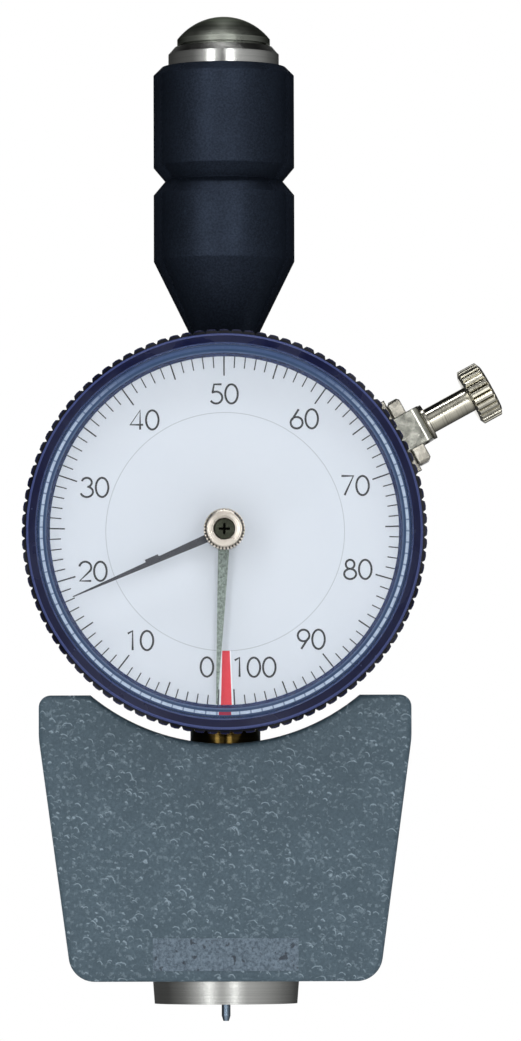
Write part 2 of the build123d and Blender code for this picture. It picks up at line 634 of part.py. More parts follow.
# ------------------------------------------------------------------------ case
def case():
    """Round case: rim for the bezel, seats for plate and cover, and two bosses."""
    body = faced([
        (CASE_IN_R, COVER_SEAT_Y), (PLATE_R + SEAT_FIT, COVER_SEAT_Y),
        (PLATE_R + SEAT_FIT, CASE_BACK_Y), (CASE_R - CASE_BACK_CHAMFER, CASE_BACK_Y),
        (CASE_R, CASE_BACK_Y - CASE_BACK_CHAMFER), (CASE_R, RIM_FRONT_Y + RIM_L),
        (RIM_R, RIM_FRONT_Y + RIM_L), (RIM_R, SNAP_Y + SNAP_T), (RIM_R - SNAP_IN, SNAP_Y + SNAP_T),
        (RIM_R - SNAP_IN, SNAP_Y), (RIM_R, SNAP_Y), (RIM_R, RIM_FRONT_Y),
        (PLATE_R + SEAT_FIT, RIM_FRONT_Y), (PLATE_R + SEAT_FIT, FRONT_PLATE_Y),
        (CASE_IN_R, FRONT_PLATE_Y),
    ])
    bosses = post(BOSS_R, BOSS_FOOT_Z, BOSS_SEAT_Z) + post(BOSS_R, BOSS_ROOF_Z, BOSS_TOP_Z)
    body += bosses
    body -= post(STEM_R + SEAT_FIT, BOSS_FOOT_Z, BOSS_SEAT_Z)
    body -= post(GRIP_SPIGOT_R + SEAT_FIT, BOSS_ROOF_Z, BOSS_TOP_Z)
    for x, z in on_circle(SCREW_PITCH_R, PLATE_SCREWS, PLATE_SCREW_ANGLE):
        body -= disc(SCREW_SHANK_R, FRONT_PLATE_Y, FRONT_PLATE_Y + SCREW_DEPTH, x, DIAL_HEIGHT + z)
    for x, z in on_circle(SCREW_PITCH_R, COVER_SCREWS, COVER_SCREW_ANGLE):
        body -= disc(SCREW_SHANK_R, COVER_SEAT_Y - SCREW_DEPTH, COVER_SEAT_Y, x, DIAL_HEIGHT + z)
    for side in (-1, 1):
        body -= clamp_place(clamp_rod(SCREW_SHANK_R, CASE_IN_R, CASE_R, side * CLAMP_BASE_SCREW_T))
    return body


def case_snap_ring():
    """Spring wire ring in the rim's groove that keeps the bezel on."""
    gap = RUN_FIT
    ring = disc(RIM_R + SNAP_OUT, SNAP_Y + gap, SNAP_Y + SNAP_T - gap, bore=RIM_R - SNAP_IN + gap)
    return ring - Pos(0, SNAP_Y, DIAL_HEIGHT + RIM_R) * Box(SNAP_OPENING, 2 * SNAP_T, SNAP_OPENING)


def cover_gasket():
    """Flat seal between case and back cover."""
    ring = disc(PLATE_R, COVER_SEAT_Y, COVER_SEAT_Y + GASKET_T, bore=CASE_IN_R + SEAT_FIT)
    for x, z in on_circle(SCREW_PITCH_R, COVER_SCREWS, COVER_SCREW_ANGLE):
        ring -= disc(SCREW_SHANK_R, COVER_SEAT_Y, COVER_SEAT_Y + GASKET_T, x, DIAL_HEIGHT + z)
    return ring


def back_cover():
    """Flat round cover, flush with the back of the case."""
    plate = disc(PLATE_R, COVER_SEAT_Y + GASKET_T, CASE_BACK_Y)
    for x, z in on_circle(SCREW_PITCH_R, COVER_SCREWS, COVER_SCREW_ANGLE):
        plate -= disc(SCREW_SHANK_R, COVER_SEAT_Y, CASE_BACK_Y, x, DIAL_HEIGHT + z)
    return plate


def back_cover_screws():
    """Screws of the back cover."""
    return group(
        slotted_screw(x, DIAL_HEIGHT + z, CASE_BACK_Y, COVER_SEAT_Y - SCREW_DEPTH + SLIDE_GAP, i)
        for i, (x, z) in enumerate(on_circle(SCREW_PITCH_R, COVER_SCREWS, COVER_SCREW_ANGLE))
    )


# -------------------------------------------------------------------- movement
def pivot_places():
    """Every arbor's centre (x, z) with its pivot radius."""
    return [(DRIVE_X, DRIVE_Z, PIVOT_R), (0, DIAL_HEIGHT, CENTRE_PIVOT_R),
            (TAKE_UP_X, TAKE_UP_Z, PIVOT_R)]


def front_plate():
    """Front movement plate, on the case's front seat."""
    plate = disc(PLATE_R, FRONT_PLATE_FRONT_Y, FRONT_PLATE_Y)
    for x, z, _ in pivot_places():
        plate -= disc(BUSH_R, FRONT_PLATE_FRONT_Y, FRONT_PLATE_Y, x, z)
    holes = on_circle(SCREW_PITCH_R, PLATE_SCREWS, PLATE_SCREW_ANGLE)
    holes += on_circle(PILLAR_PITCH_R, PILLARS, PILLAR_FIRST_ANGLE)
    for x, z in holes:
        plate -= disc(SCREW_SHANK_R, FRONT_PLATE_FRONT_Y, FRONT_PLATE_Y, x, DIAL_HEIGHT + z)
    return plate


def rear_plate():
    """Rear movement plate, with the guide pin's slot."""
    plate = disc(REAR_PLATE_R, REAR_PLATE_FRONT_Y, REAR_PLATE_Y)
    for x, z, _ in pivot_places():
        plate -= disc(BUSH_R, REAR_PLATE_FRONT_Y, REAR_PLATE_Y, x, z)
    for x, z in on_circle(PILLAR_PITCH_R, PILLARS, PILLAR_FIRST_ANGLE):
        plate -= disc(SCREW_SHANK_R, REAR_PLATE_FRONT_Y, REAR_PLATE_Y, x, DIAL_HEIGHT + z)
    stud_x, stud_z = hairspring_stud_place()
    plate -= disc(STUD_R, REAR_PLATE_FRONT_Y, REAR_PLATE_Y, stud_x, stud_z)
    slot_h = TRAVEL + 2 * (GUIDE_PIN_R + SLIDE_GAP)
    slot = Box(2 * (GUIDE_PIN_R + RUN_FIT), 2 * PLATE_T, slot_h)
    return plate - Pos(0, REAR_PLATE_Y, GUIDE_PIN_Z + TRAVEL / 2) * slot


def plate_pillars():
    """Pillars between the plates, drilled through for their screws."""
    return group(
        disc(PILLAR_R, FRONT_PLATE_Y, REAR_PLATE_FRONT_Y, x, DIAL_HEIGHT + z, SCREW_SHANK_R)
        for x, z in on_circle(PILLAR_PITCH_R, PILLARS, PILLAR_FIRST_ANGLE)
    )


def pillar_screws():
    """A screw into each end of each pillar."""
    middle = (FRONT_PLATE_Y + REAR_PLATE_FRONT_Y) / 2
    screws = []
    for i, (x, z) in enumerate(on_circle(PILLAR_PITCH_R, PILLARS, PILLAR_FIRST_ANGLE)):
        z += DIAL_HEIGHT
        screws.append(slotted_screw(x, z, FRONT_PLATE_FRONT_Y, middle - SLIDE_GAP, i))
        screws.append(slotted_screw(x, z, REAR_PLATE_Y, middle + SLIDE_GAP, PILLARS + i))
    return group(screws)


def front_plate_screws():
    """Screws that hold the front plate on the case's seat."""
    point = FRONT_PLATE_Y + SCREW_DEPTH - SLIDE_GAP
    return group(
        slotted_screw(x, DIAL_HEIGHT + z, FRONT_PLATE_FRONT_Y, point, i)
        for i, (x, z) in enumerate(on_circle(SCREW_PITCH_R, PLATE_SCREWS, PLATE_SCREW_ANGLE))
    )


def pivot_bushes():
    """Bearing bushes of the three arbors in both plates."""
    bushes = []
    for x, z, pivot_r in pivot_places():
        bore = pivot_r + RUN_FIT
        bushes.append(disc(BUSH_R, FRONT_PLATE_FRONT_Y, FRONT_PLATE_Y, x, z, bore))
        bushes.append(disc(BUSH_R, REAR_PLATE_FRONT_Y, REAR_PLATE_Y, x, z, bore))
    return group(bushes)


def arbor(x, z, pivot_r, front_y, back_y):
    """An arbor with shoulders between the plates and pivots through them."""
    shoulder_front = FRONT_PLATE_Y + SHOULDER_GAP
    shoulder_back = REAR_PLATE_FRONT_Y - SHOULDER_GAP
    return faced([
        (0, front_y), (pivot_r, front_y), (pivot_r, shoulder_front), (ARBOR_R, shoulder_front),
        (ARBOR_R, shoulder_back), (pivot_r, shoulder_back), (pivot_r, back_y), (0, back_y),
    ], x, z)


def toothed_wheel(x, z, tooth_angle):
    """Sixty-tooth wheel with round windows."""
    wheel = cut_from(WHEEL_Y, WHEEL_BACK_Y, gear_outline(WHEEL_TEETH, WHEEL_MODULE, tooth_angle, 1), x, z)
    wheel -= disc(ARBOR_R, WHEEL_Y, WHEEL_BACK_Y, x, z)
    for dx, dz in on_circle(WHEEL_WINDOW_PITCH_R, WHEEL_WINDOWS):
        wheel -= disc(WHEEL_WINDOW_R, WHEEL_Y, WHEEL_BACK_Y, x + dx, z + dz)
    return wheel


def drive_arbor():
    """Arbor of the drive wheel; it reaches back past the spindle's rack."""
    return arbor(DRIVE_X, DRIVE_Z, PIVOT_R, FRONT_PLATE_FRONT_Y, RACK_PINION_T / 2 + SLIDE_GAP)


def drive_wheel():
    """Wheel that drives the centre pinion; a tooth of it lies on the line of centres."""
    toward_centre = radians(180) + acos(DRIVE_X / WHEEL_CENTRES)
    return toothed_wheel(DRIVE_X, DRIVE_Z, toward_centre)


def rack_pinion():
    """Pinion in mesh with the spindle's rack, one tooth in the middle of a space."""
    teeth = gear_outline(RACK_PINION_TEETH, RACK_MODULE, 0.0, 3)
    pinion = cut_from(-RACK_PINION_T / 2, RACK_PINION_T / 2, teeth, DRIVE_X, DRIVE_Z)
    return pinion - disc(PIVOT_R, -RACK_PINION_T, RACK_PINION_T, DRIVE_X, DRIVE_Z)


def centre_arbor():
    """Arbor that carries the centre pinion and, in front of the dial, the pointer."""
    front_y = POINTER_Y - POINTER_T - SLIDE_GAP
    return arbor(0, DIAL_HEIGHT, CENTRE_PIVOT_R, front_y, REAR_PLATE_Y)


def centre_pinion():
    """Pinion of the pointer; a space faces the drive wheel."""
    toward_drive = acos(DRIVE_X / WHEEL_CENTRES)
    teeth = gear_outline(PINION_TEETH, WHEEL_MODULE, toward_drive + pi / PINION_TEETH, 3)
    pinion = cut_from(WHEEL_Y - SLIDE_GAP, WHEEL_BACK_Y + SLIDE_GAP, teeth)
    return pinion - disc(ARBOR_R, FRONT_PLATE_Y, REAR_PLATE_Y)


def take_up_arbor():
    """Arbor of the take-up wheel."""
    return arbor(TAKE_UP_X, TAKE_UP_Z, PIVOT_R, FRONT_PLATE_FRONT_Y, REAR_PLATE_Y)


def take_up_wheel():
    """Wheel that the hairspring loads against the centre pinion, to take up the backlash."""
    pinion_pitch = 2 * pi / PINION_TEETH
    first_tooth = acos(DRIVE_X / WHEEL_CENTRES) + pinion_pitch / 2
    line = radians(TAKE_UP_ANGLE)
    past_tooth = (line - first_tooth) % pinion_pitch
    on_wheel = past_tooth / STEP_UP + pi / WHEEL_TEETH
    return toothed_wheel(TAKE_UP_X, TAKE_UP_Z, line + pi + on_wheel)


def hairspring_front():
    """The hairspring's front plane, over the middle of its collet."""
    return WHEEL_BACK_Y + COLLET_T / 2 + SLIDE_GAP / 2


def hairspring_collet():
    """Collet on the take-up arbor that holds the hairspring's inner end."""
    front = WHEEL_BACK_Y + SLIDE_GAP
    return disc(COLLET_R, front, front + COLLET_T, TAKE_UP_X, TAKE_UP_Z, ARBOR_R)


def hairspring_end():
    """Radius of the hairspring's outer end."""
    return COLLET_R + HAIR_START_GAP + HAIR_TURNS * HAIR_PITCH


def hairspring_stud_place():
    """Centre (x, z) of the stud, outside the hairspring's outer end."""
    reach = hairspring_end() + HAIR_T + STUD_R
    return TAKE_UP_X - reach, TAKE_UP_Z


def hairspring():
    """Flat spiral spring from the collet to its stud."""
    steps = HAIR_FACETS * HAIR_TURNS
    inner, outer = [], []
    for i in range(steps + 1):
        angle = pi + 2 * pi * HAIR_TURNS * i / steps
        radius = COLLET_R + HAIR_START_GAP + HAIR_PITCH * HAIR_TURNS * i / steps
        inner.append((radius * cos(angle), radius * sin(angle)))
        outer.append(((radius + HAIR_T) * cos(angle), (radius + HAIR_T) * sin(angle)))
    front = hairspring_front()
    return cut_from(front, front + HAIR_W, inner + outer[::-1], TAKE_UP_X, TAKE_UP_Z)


def hairspring_stud():
    """Stud in the rear plate that holds the hairspring's outer end."""
    x, z = hairspring_stud_place()
    return disc(STUD_R, hairspring_front() - SLIDE_GAP, REAR_PLATE_Y, x, z)


# ---------------------------------------------------------------------- bezel
def bezel():
    """Knurled plastic bezel that carries dial and crystal and turns on the case rim."""
    bore, face_in_r, edge = RIM_R + RIM_FIT, BEZEL_FACE_IN_R - RIM_FIT, BEZEL_OUTER_CHAMFER
    ring = faced([
        (face_in_r, SHELF_Y), (face_in_r, BEZEL_Y + BEZEL_INNER_CHAMFER),
        (face_in_r + BEZEL_INNER_CHAMFER, BEZEL_Y), (BEZEL_LIP_R - edge, BEZEL_Y + BEZEL_SLOPE),
        (BEZEL_LIP_R, BEZEL_Y + BEZEL_SLOPE + edge), (BEZEL_LIP_R, KNURL_Y),
        (SKIRT_R, KNURL_Y), (SKIRT_R, SKIRT_BACK_Y), (bore, SKIRT_BACK_Y), (bore, DIAL_BACK_Y),
        (DIAL_R + SEAT_FIT, DIAL_BACK_Y), (DIAL_R + SEAT_FIT, DIAL_Y), (DIAL_R - SHELF_W, DIAL_Y),
        (DIAL_R - SHELF_W, SHELF_Y),
    ])
    knurl = cut_from(KNURL_Y, KNURL_BACK_Y, knurl_outline(KNURL_R, KNURL_TEETH, KNURL_DEPTH))
    ring += knurl - disc(SKIRT_R - SLIDE_GAP, KNURL_Y, KNURL_BACK_Y)
    groove_r = RIM_R + SNAP_OUT + TURN_GAP
    ring -= disc(groove_r, SNAP_Y - TURN_GAP, SNAP_Y + SNAP_T + TURN_GAP, bore=RIM_R)
    return ring


def crystal():
    """Raised clear crystal with a bevelled shoulder, bored for the peak-hold shaft."""
    inner_r = CRYSTAL_R - CRYSTAL_T
    top_r = CRYSTAL_R - CRYSTAL_SHOULDER
    hole = PEAK_SHAFT_R + RUN_FIT
    return faced([
        (inner_r, SHELF_Y), (CRYSTAL_R, SHELF_Y), (CRYSTAL_R, CRYSTAL_Y + CRYSTAL_SHOULDER),
        (CRYSTAL_R - CRYSTAL_EDGE_R / 2, CRYSTAL_Y + CRYSTAL_EDGE_R),
        (top_r, CRYSTAL_Y), (hole, CRYSTAL_Y), (hole, CRYSTAL_IN_Y),
        (top_r - CRYSTAL_EDGE_R, CRYSTAL_IN_Y), (inner_r, CRYSTAL_IN_Y + CRYSTAL_SHOULDER - CRYSTAL_EDGE_R),
    ])


def dial_plate():
    """Printed dial, against the bezel's ledge."""
    return disc(DIAL_R, DIAL_Y, DIAL_BACK_Y, bore=DIAL_HOLE_R)


def dial_ring():
    """Spring ring behind the dial."""
    return disc(RIM_R, DIAL_BACK_Y, DIAL_RING_Y, bore=DIAL_R - DIAL_RING_W)


# ------------------------------------------------------------------- pointers
def downward(reading_angle, outline):
    """An outline drawn along +X, laid from straight down towards the higher readings."""
    turn = radians(-90 - reading_angle)
    return [(u * cos(turn) - v * sin(turn), u * sin(turn) + v * cos(turn)) for u, v in outline]


def blade(length, root_w, waist_at, waist_w, tip_w):
    """Outline of a tapered pointer blade along +X."""
    upper = [(0, root_w / 2), (waist_at, waist_w / 2), (length, tip_w / 2)]
    return upper + [(u, -v) for u, v in reversed(upper)]


def main_pointer():
    """Pointer blade with a round root, at rest on 0."""
    shape = blade(POINTER_L, POINTER_ROOT_W, POINTER_WAIST_L, POINTER_WAIST_W, POINTER_TIP_W)
    hand = cut_from(POINTER_Y - POINTER_T, POINTER_Y, downward(ZERO_ANGLE, shape))
    hand += disc(POINTER_TAIL_R, POINTER_Y - POINTER_T, POINTER_Y)
    return hand - disc(POINTER_HUB_R - SLIDE_GAP, POINTER_Y - 2 * POINTER_T, POINTER_Y + POINTER_T)


def pointer_hub():
    """Brass hub pressed on the centre arbor, riveted into the pointer."""
    collar_r, front_y = POINTER_HUB_R - SLIDE_GAP, POINTER_Y - POINTER_T
    return faced([
        (CENTRE_PIVOT_R, front_y), (collar_r, front_y), (collar_r, POINTER_Y),
        (POINTER_HUB_R, POINTER_Y), (POINTER_HUB_R, POINTER_Y + POINTER_HUB_L),
        (CENTRE_PIVOT_R, POINTER_Y + POINTER_HUB_L),
    ])


def peak_pointer():
    """Peak-hold pointer with its bent driving lug."""
    angle = ZERO_ANGLE + PEAK_READING * DIAL_SWEEP / 100
    shape = blade(PEAK_POINTER_L, PEAK_ROOT_W, PEAK_POINTER_L / 2, (PEAK_ROOT_W + PEAK_TIP_W) / 2,
                  PEAK_TIP_W)
    hand = cut_from(PEAK_BLADE_Y, PEAK_BLADE_Y + POINTER_T, downward(angle, shape))
    hand += disc(PEAK_FLANGE_R, PEAK_BLADE_Y, PEAK_BLADE_Y + POINTER_T)
    edge = (PEAK_ROOT_W + PEAK_TIP_W) / 4
    near, far = PEAK_LUG_AT - PEAK_LUG_L / 2, PEAK_LUG_AT + PEAK_LUG_L / 2
    outer = edge + PEAK_LUG_W
    tab = [(near, 0), (far, 0), (far, -outer), (near, -outer)]
    lug = [(near, -edge), (far, -edge), (far, -outer), (near, -outer)]
    hand += cut_from(PEAK_BLADE_Y, PEAK_BLADE_Y + POINTER_T, downward(angle, tab))
    hand += cut_from(PEAK_BLADE_Y, PEAK_BLADE_Y + POINTER_T + PEAK_LUG_DROP, downward(angle, lug))
    return hand - disc(PEAK_SHAFT_R, CRYSTAL_Y, POINTER_Y)


def peak_shaft():
    """Brass shaft through the crystal, riveted to the peak pointer, tapped for the screw."""
    front_y = KNOB_Y + KNOB_SINK_DEPTH + KNOB_WEB
    back_y = PEAK_BLADE_Y + POINTER_T
    shaft = disc(PEAK_SHAFT_R, front_y, back_y)
    shaft += disc(PEAK_FLANGE_R, PEAK_FLANGE_Y, PEAK_BLADE_Y)
    return shaft - disc(PEAK_SCREW_R + SEAT_FIT, front_y, front_y + PEAK_SCREW_L - KNOB_WEB)


def peak_knob():
    """Knurled knob, counterbored for its screw."""
    teeth = knurl_outline(KNOB_R, KNOB_TEETH, KNOB_KNURL_DEPTH)
    knob = cut_from(KNOB_Y + KNOB_EDGE, KNOB_BACK_Y, teeth)
    face_r = KNOB_R - KNOB_KNURL_DEPTH
    knob += faced([
        (0, KNOB_Y), (face_r - KNOB_EDGE, KNOB_Y), (face_r, KNOB_Y + KNOB_EDGE),
        (0, KNOB_Y + KNOB_EDGE),
    ])
    web_y = KNOB_Y + KNOB_SINK_DEPTH
    knob -= disc(KNOB_SINK_R, KNOB_Y, web_y)
    knob -= disc(PEAK_SCREW_R + SEAT_FIT, web_y, web_y + KNOB_WEB)
    return knob - disc(PEAK_SHAFT_R + SEAT_FIT, web_y + KNOB_WEB, KNOB_BACK_Y)


def peak_screw():
    """Cross-recessed screw in the knob's counterbore."""
    web_y = KNOB_Y + KNOB_SINK_DEPTH
    screw = disc(PEAK_SCREW_HEAD_R, web_y - PEAK_SCREW_HEAD_T, web_y)
    screw += disc(PEAK_SCREW_R, web_y, web_y + PEAK_SCREW_L - SLIDE_GAP)
    bar = Box(CROSS_L, 2 * CROSS_DEPTH, CROSS_W)
    cross = bar + Rot(0, 90, 0) * bar
    return screw - Pos(0, web_y - PEAK_SCREW_HEAD_T, DIAL_HEIGHT) * cross


def friction_washer():
    """Washer between knob and crystal that holds the reading."""
    back_y = CRYSTAL_Y - PEAK_END_GAP
    return disc(WASHER_R, back_y - WASHER_T, back_y, bore=PEAK_SHAFT_R + SEAT_FIT)


# ----------------------------------------------------------------- grip and cap
def grip():
    """Turned grip: spigot, neck, cone, two bands with a V groove, and a chamfered top."""
    hole_r, cap_z = CAP_SPIGOT_R + SEAT_FIT, GRIP_TOP_Z - CAP_SPIGOT_L - SLIDE_GAP
    bush_r = TOP_BUSH_R + SEAT_FIT
    return turned([
        (bush_r, SPIGOT_Z), (GRIP_SPIGOT_R, SPIGOT_Z), (GRIP_SPIGOT_R, GRIP_Z),
        (GRIP_NECK_R, GRIP_Z), (GRIP_NECK_R, CONE_Z), (GRIP_R, CONE_TOP_Z), (GRIP_R, GROOVE_Z),
        (GRIP_R - GROOVE_DEPTH, GROOVE_Z + GROOVE_W / 2), (GRIP_R, UPPER_Z),
        (GRIP_R, UPPER_Z + GRIP_UPPER_L), (GRIP_R - GRIP_TOP_CHAMFER, GRIP_TOP_Z),
        (hole_r, GRIP_TOP_Z), (hole_r, cap_z), (0, cap_z), (0, SPINDLE_BORE_TOP_Z),
        (bush_r, SPINDLE_BORE_TOP_Z),
    ])


def top_bush():
    """Bush in the grip's spigot that guides the spindle's top."""
    return post(TOP_BUSH_R, SPIGOT_Z, SPIGOT_Z + TOP_BUSH_L, SPINDLE_R + RUN_FIT)


def cap_collar():
    """Bright ring between grip and cap."""
    top = GRIP_TOP_Z + COLLAR_SIDE_H + COLLAR_CHAMFER_H
    return turned([
        (CAP_SPIGOT_R + SEAT_FIT, GRIP_TOP_Z), (COLLAR_R, GRIP_TOP_Z),
        (COLLAR_R, GRIP_TOP_Z + COLLAR_SIDE_H), (COLLAR_R - COLLAR_CHAMFER_W, top),
        (CAP_SPIGOT_R + SEAT_FIT, top),
    ])


def dome_cap():
    """Domed cap with a groove under its rim, screwed into the grip."""
    seat = GRIP_TOP_Z + COLLAR_SIDE_H + COLLAR_CHAMFER_H
    rim, dome = seat + CAP_GROOVE_H, seat + CAP_GROOVE_H + CAP_RIM_H
    centre_z = dome - sqrt(CAP_DOME_R**2 - CAP_RIM_R**2)
    mid_angle = (acos(CAP_RIM_R / CAP_DOME_R) + radians(90)) / 2
    mid = (CAP_DOME_R * cos(mid_angle), centre_z + CAP_DOME_R * sin(mid_angle))
    apex = (0, centre_z + CAP_DOME_R)
    bottom = GRIP_TOP_Z - CAP_SPIGOT_L
    edge = Polyline(
        apex, (0, bottom), (CAP_SPIGOT_R, bottom), (CAP_SPIGOT_R, seat), (CAP_GROOVE_R, seat),
        (CAP_GROOVE_R, rim), (CAP_RIM_R, rim), (CAP_RIM_R, dome),
    )
    crown = ThreePointArc((CAP_RIM_R, dome), mid, apex)
    return revolve(Plane.XZ * make_face([edge, crown]), Axis.Z)


# ---------------------------------------------------------------- bezel clamp
def clamp_place(solid):
    """Carries a solid from a radius along +X to the clamp's own radius of the dial."""
    return Pos(0, 0, DIAL_HEIGHT) * Rot(0, -CLAMP_ANGLE, 0) * solid


def clamp_rod(radius, inner_r, outer_r, side=0.0, bore=0.0):
    """A rod or washer along the clamp's radius, before it is placed."""
    rod = Cylinder(radius, outer_r - inner_r)
    if bore:
        rod -= Cylinder(bore, 2 * (outer_r - inner_r))
    return Pos((inner_r + outer_r) / 2, CLAMP_Y, side) * Rot(0, 90, 0) * rod


def clamp_base():
    """Bracket on the case wall that carries the clamp's bar."""
    length = BAR_R - CASE_R + CASE_WALL / 2
    block = Pos(BAR_R - length / 2, CLAMP_Y, 0) * Box(length, CLAMP_BASE_L, 2 * CLAMP_BASE_HALF)
    block -= Rot(90, 0, 0) * Cylinder(CASE_R + SEAT_FIT, BLOCK_DEPTH * 2)
    for side in (-1, 1):
        block -= clamp_rod(SCREW_SHANK_R, CASE_R - CASE_WALL, BAR_R, side * CLAMP_BASE_SCREW_T)
    return clamp_place(block)


def clamp_bar():
    """Cross bar with the thread of the clamp screw."""
    bar = Pos(BAR_R + BAR_T / 2, CLAMP_Y, 0) * Box(BAR_T, BAR_L, 2 * BAR_HALF)
    bar = chamfer(bar.edges().filter_by(Axis.Y) + bar.edges().filter_by(Axis.X), BAR_EDGE)
    bar -= clamp_rod(CLAMP_THREAD_R + RUN_FIT, BAR_R, BAR_TOP_R)
    return clamp_place(bar)


def clamp_base_screws():
    """Two screws from the bracket into the case wall."""
    point_r = CASE_R - CASE_WALL / 2
    return group(
        clamp_place(clamp_rod(SCREW_SHANK_R - SEAT_FIT, point_r, BAR_R, side * CLAMP_BASE_SCREW_T))
        for side in (-1, 1)
    )


def clamp_strap():
    """Bent strap over the bar; its front leg bears on the bezel's skirt."""
    toe_r = SKIRT_R + CLAMP_REACH
    width = WEB_TOP_R - toe_r + STRAP_T
    outer = Rectangle(width, STRAP_BACK_Y - STRAP_FRONT_Y)
    outer = fillet(outer.vertices().sort_by(Axis.X)[-2:], STRAP_BEND_R)
    inner_w = width - STRAP_T
    inner = Rectangle(inner_w, STRAP_BACK_Y - STRAP_FRONT_Y - 2 * STRAP_T)
    inner = fillet(inner.vertices().sort_by(Axis.X)[-2:], STRAP_BEND_R - STRAP_T + SLIDE_GAP)
    profile = outer - Pos(-STRAP_T / 2, 0) * inner
    strap = extrude(profile, STRAP_W / 2, both=True)
    strap = Pos(WEB_TOP_R - width / 2, (STRAP_FRONT_Y + STRAP_BACK_Y) / 2, 0) * strap
    strap -= Rot(90, 0, 0) * Cylinder(toe_r, BLOCK_DEPTH * 2)
    strap -= clamp_rod(CLAMP_THREAD_R + TURN_GAP, WEB_R - STRAP_T, WEB_TOP_R)
    return clamp_place(strap)


def clamp_washer():
    """Washer under the clamp screw's shoulder."""
    return clamp_place(
        clamp_rod(CLAMP_WASHER_R, WEB_TOP_R, SHANK_R, bore=CLAMP_THREAD_R + TURN_GAP)
    )


def thumbscrew():
    """Clamp screw: thread, plain shank and a crowned, coarsely knurled head."""
    teeth = knurl_outline(CLAMP_HEAD_R, CLAMP_HEAD_TEETH, CLAMP_HEAD_KNURL)
    blank = Plane.YZ * make_face(Polyline(*teeth, close=True))
    head = Pos(HEAD_R, CLAMP_Y, 0) * extrude(blank, CLAMP_HEAD_L)
    crown_r = CLAMP_HEAD_R - CLAMP_HEAD_CROWN
    half = CLAMP_HEAD_L / 2
    envelope = make_face(Polyline(
        (-half, 0), (-half, crown_r), (CLAMP_HEAD_CROWN / 2 - half, CLAMP_HEAD_R),
        (half - CLAMP_HEAD_CROWN / 2, CLAMP_HEAD_R), (half, crown_r), (half, 0), close=True,
    ))
    head &= Pos(HEAD_R + half, CLAMP_Y, 0) * revolve(envelope, Axis.X)
    head += clamp_rod(CLAMP_SHANK_R, SHANK_R, HEAD_R)
    head += clamp_rod(CLAMP_THREAD_R, THREAD_END_R, SHANK_R)
    return clamp_place(head)


# --------------------------------------------------------------------- write
PIECES = [
    presser_foot, indenter, indenter_holder, spindle, spring_seat, guide_pin, calibrated_spring,
    body_block, stem_grub_screw, label_strip, stem, stem_nut, spring_adjuster,
    case, case_snap_ring, cover_gasket, back_cover, back_cover_screws,
    front_plate, rear_plate, plate_pillars, pillar_screws, front_plate_screws, pivot_bushes,
    drive_arbor, drive_wheel, rack_pinion, centre_arbor, centre_pinion,
    take_up_arbor, take_up_wheel, hairspring_collet, hairspring, hairspring_stud,
    bezel, crystal, dial_plate, dial_ring,
    main_pointer, pointer_hub, peak_pointer, peak_shaft, peak_knob, peak_screw, friction_washer,
    grip, top_bush, cap_collar, dome_cap,
    clamp_base, clamp_bar, clamp_base_screws, clamp_strap, clamp_washer, thumbscrew,
]

os.makedirs("parts", exist_ok=True)
for piece in PIECES:
    placed = Pos(0, 0, -GRIP_HOLD_Z) * piece()
    export_step(placed, f"parts/{piece.__name__}.step")
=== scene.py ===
"""Looks of the dial hardness tester: finishes, the printed dial, the light and the camera."""

import logging
import math
from dataclasses import dataclass
from enum import Enum

import bmesh
import bpy
from mathutils import Matrix, Vector


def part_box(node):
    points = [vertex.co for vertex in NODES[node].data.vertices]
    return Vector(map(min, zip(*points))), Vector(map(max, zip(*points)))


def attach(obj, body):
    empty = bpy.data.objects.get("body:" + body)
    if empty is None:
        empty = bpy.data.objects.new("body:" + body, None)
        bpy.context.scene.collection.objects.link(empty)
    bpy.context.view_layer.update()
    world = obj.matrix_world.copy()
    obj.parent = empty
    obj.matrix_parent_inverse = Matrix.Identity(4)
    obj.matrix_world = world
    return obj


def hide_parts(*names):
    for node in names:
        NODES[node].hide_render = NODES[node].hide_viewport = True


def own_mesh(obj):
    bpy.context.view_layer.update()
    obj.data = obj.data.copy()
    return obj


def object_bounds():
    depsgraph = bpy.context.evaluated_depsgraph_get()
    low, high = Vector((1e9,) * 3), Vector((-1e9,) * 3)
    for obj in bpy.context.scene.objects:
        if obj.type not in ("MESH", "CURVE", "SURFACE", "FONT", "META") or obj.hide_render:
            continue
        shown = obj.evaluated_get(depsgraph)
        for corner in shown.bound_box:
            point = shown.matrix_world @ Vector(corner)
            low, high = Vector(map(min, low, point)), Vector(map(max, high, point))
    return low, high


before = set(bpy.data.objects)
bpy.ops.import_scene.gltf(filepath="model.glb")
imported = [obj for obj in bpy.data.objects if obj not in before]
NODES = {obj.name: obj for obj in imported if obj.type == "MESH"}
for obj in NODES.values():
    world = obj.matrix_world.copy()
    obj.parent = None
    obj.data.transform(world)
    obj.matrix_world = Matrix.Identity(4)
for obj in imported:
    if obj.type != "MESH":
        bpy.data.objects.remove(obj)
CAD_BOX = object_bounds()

LOG = logging.getLogger("hardness_tester")
MM = 0.001

Colour = tuple[float, float, float, float]


def srgb(red: int, green: int, blue: int) -> Colour:
    """Turns a screen colour into the linear colour that shaders use.

    Args:
        red: Red from 0 to 255.
        green: Green from 0 to 255.
        blue: Blue from 0 to 255.

    Returns:
        The linear colour with full alpha.
    """
    def linear(level: int) -> float:
        """Linear value of one screen level."""
        share = level / 255
        return share / 12.92 if share <= 0.04045 else ((share + 0.055) / 1.055) ** 2.4

    return (linear(red), linear(green), linear(blue), 1.0)


class Turning(Enum):
    """The line that a turned part's lathe marks run round."""

    SPINDLE = "spindle"
    DIAL = "dial"
    CLAMP = "clamp"


@dataclass(frozen=True)
class TurningLine:
    """A point on a lathe axis with the turn that carries the axis to Z."""

    point: Vector
    turn: tuple[float, float, float]


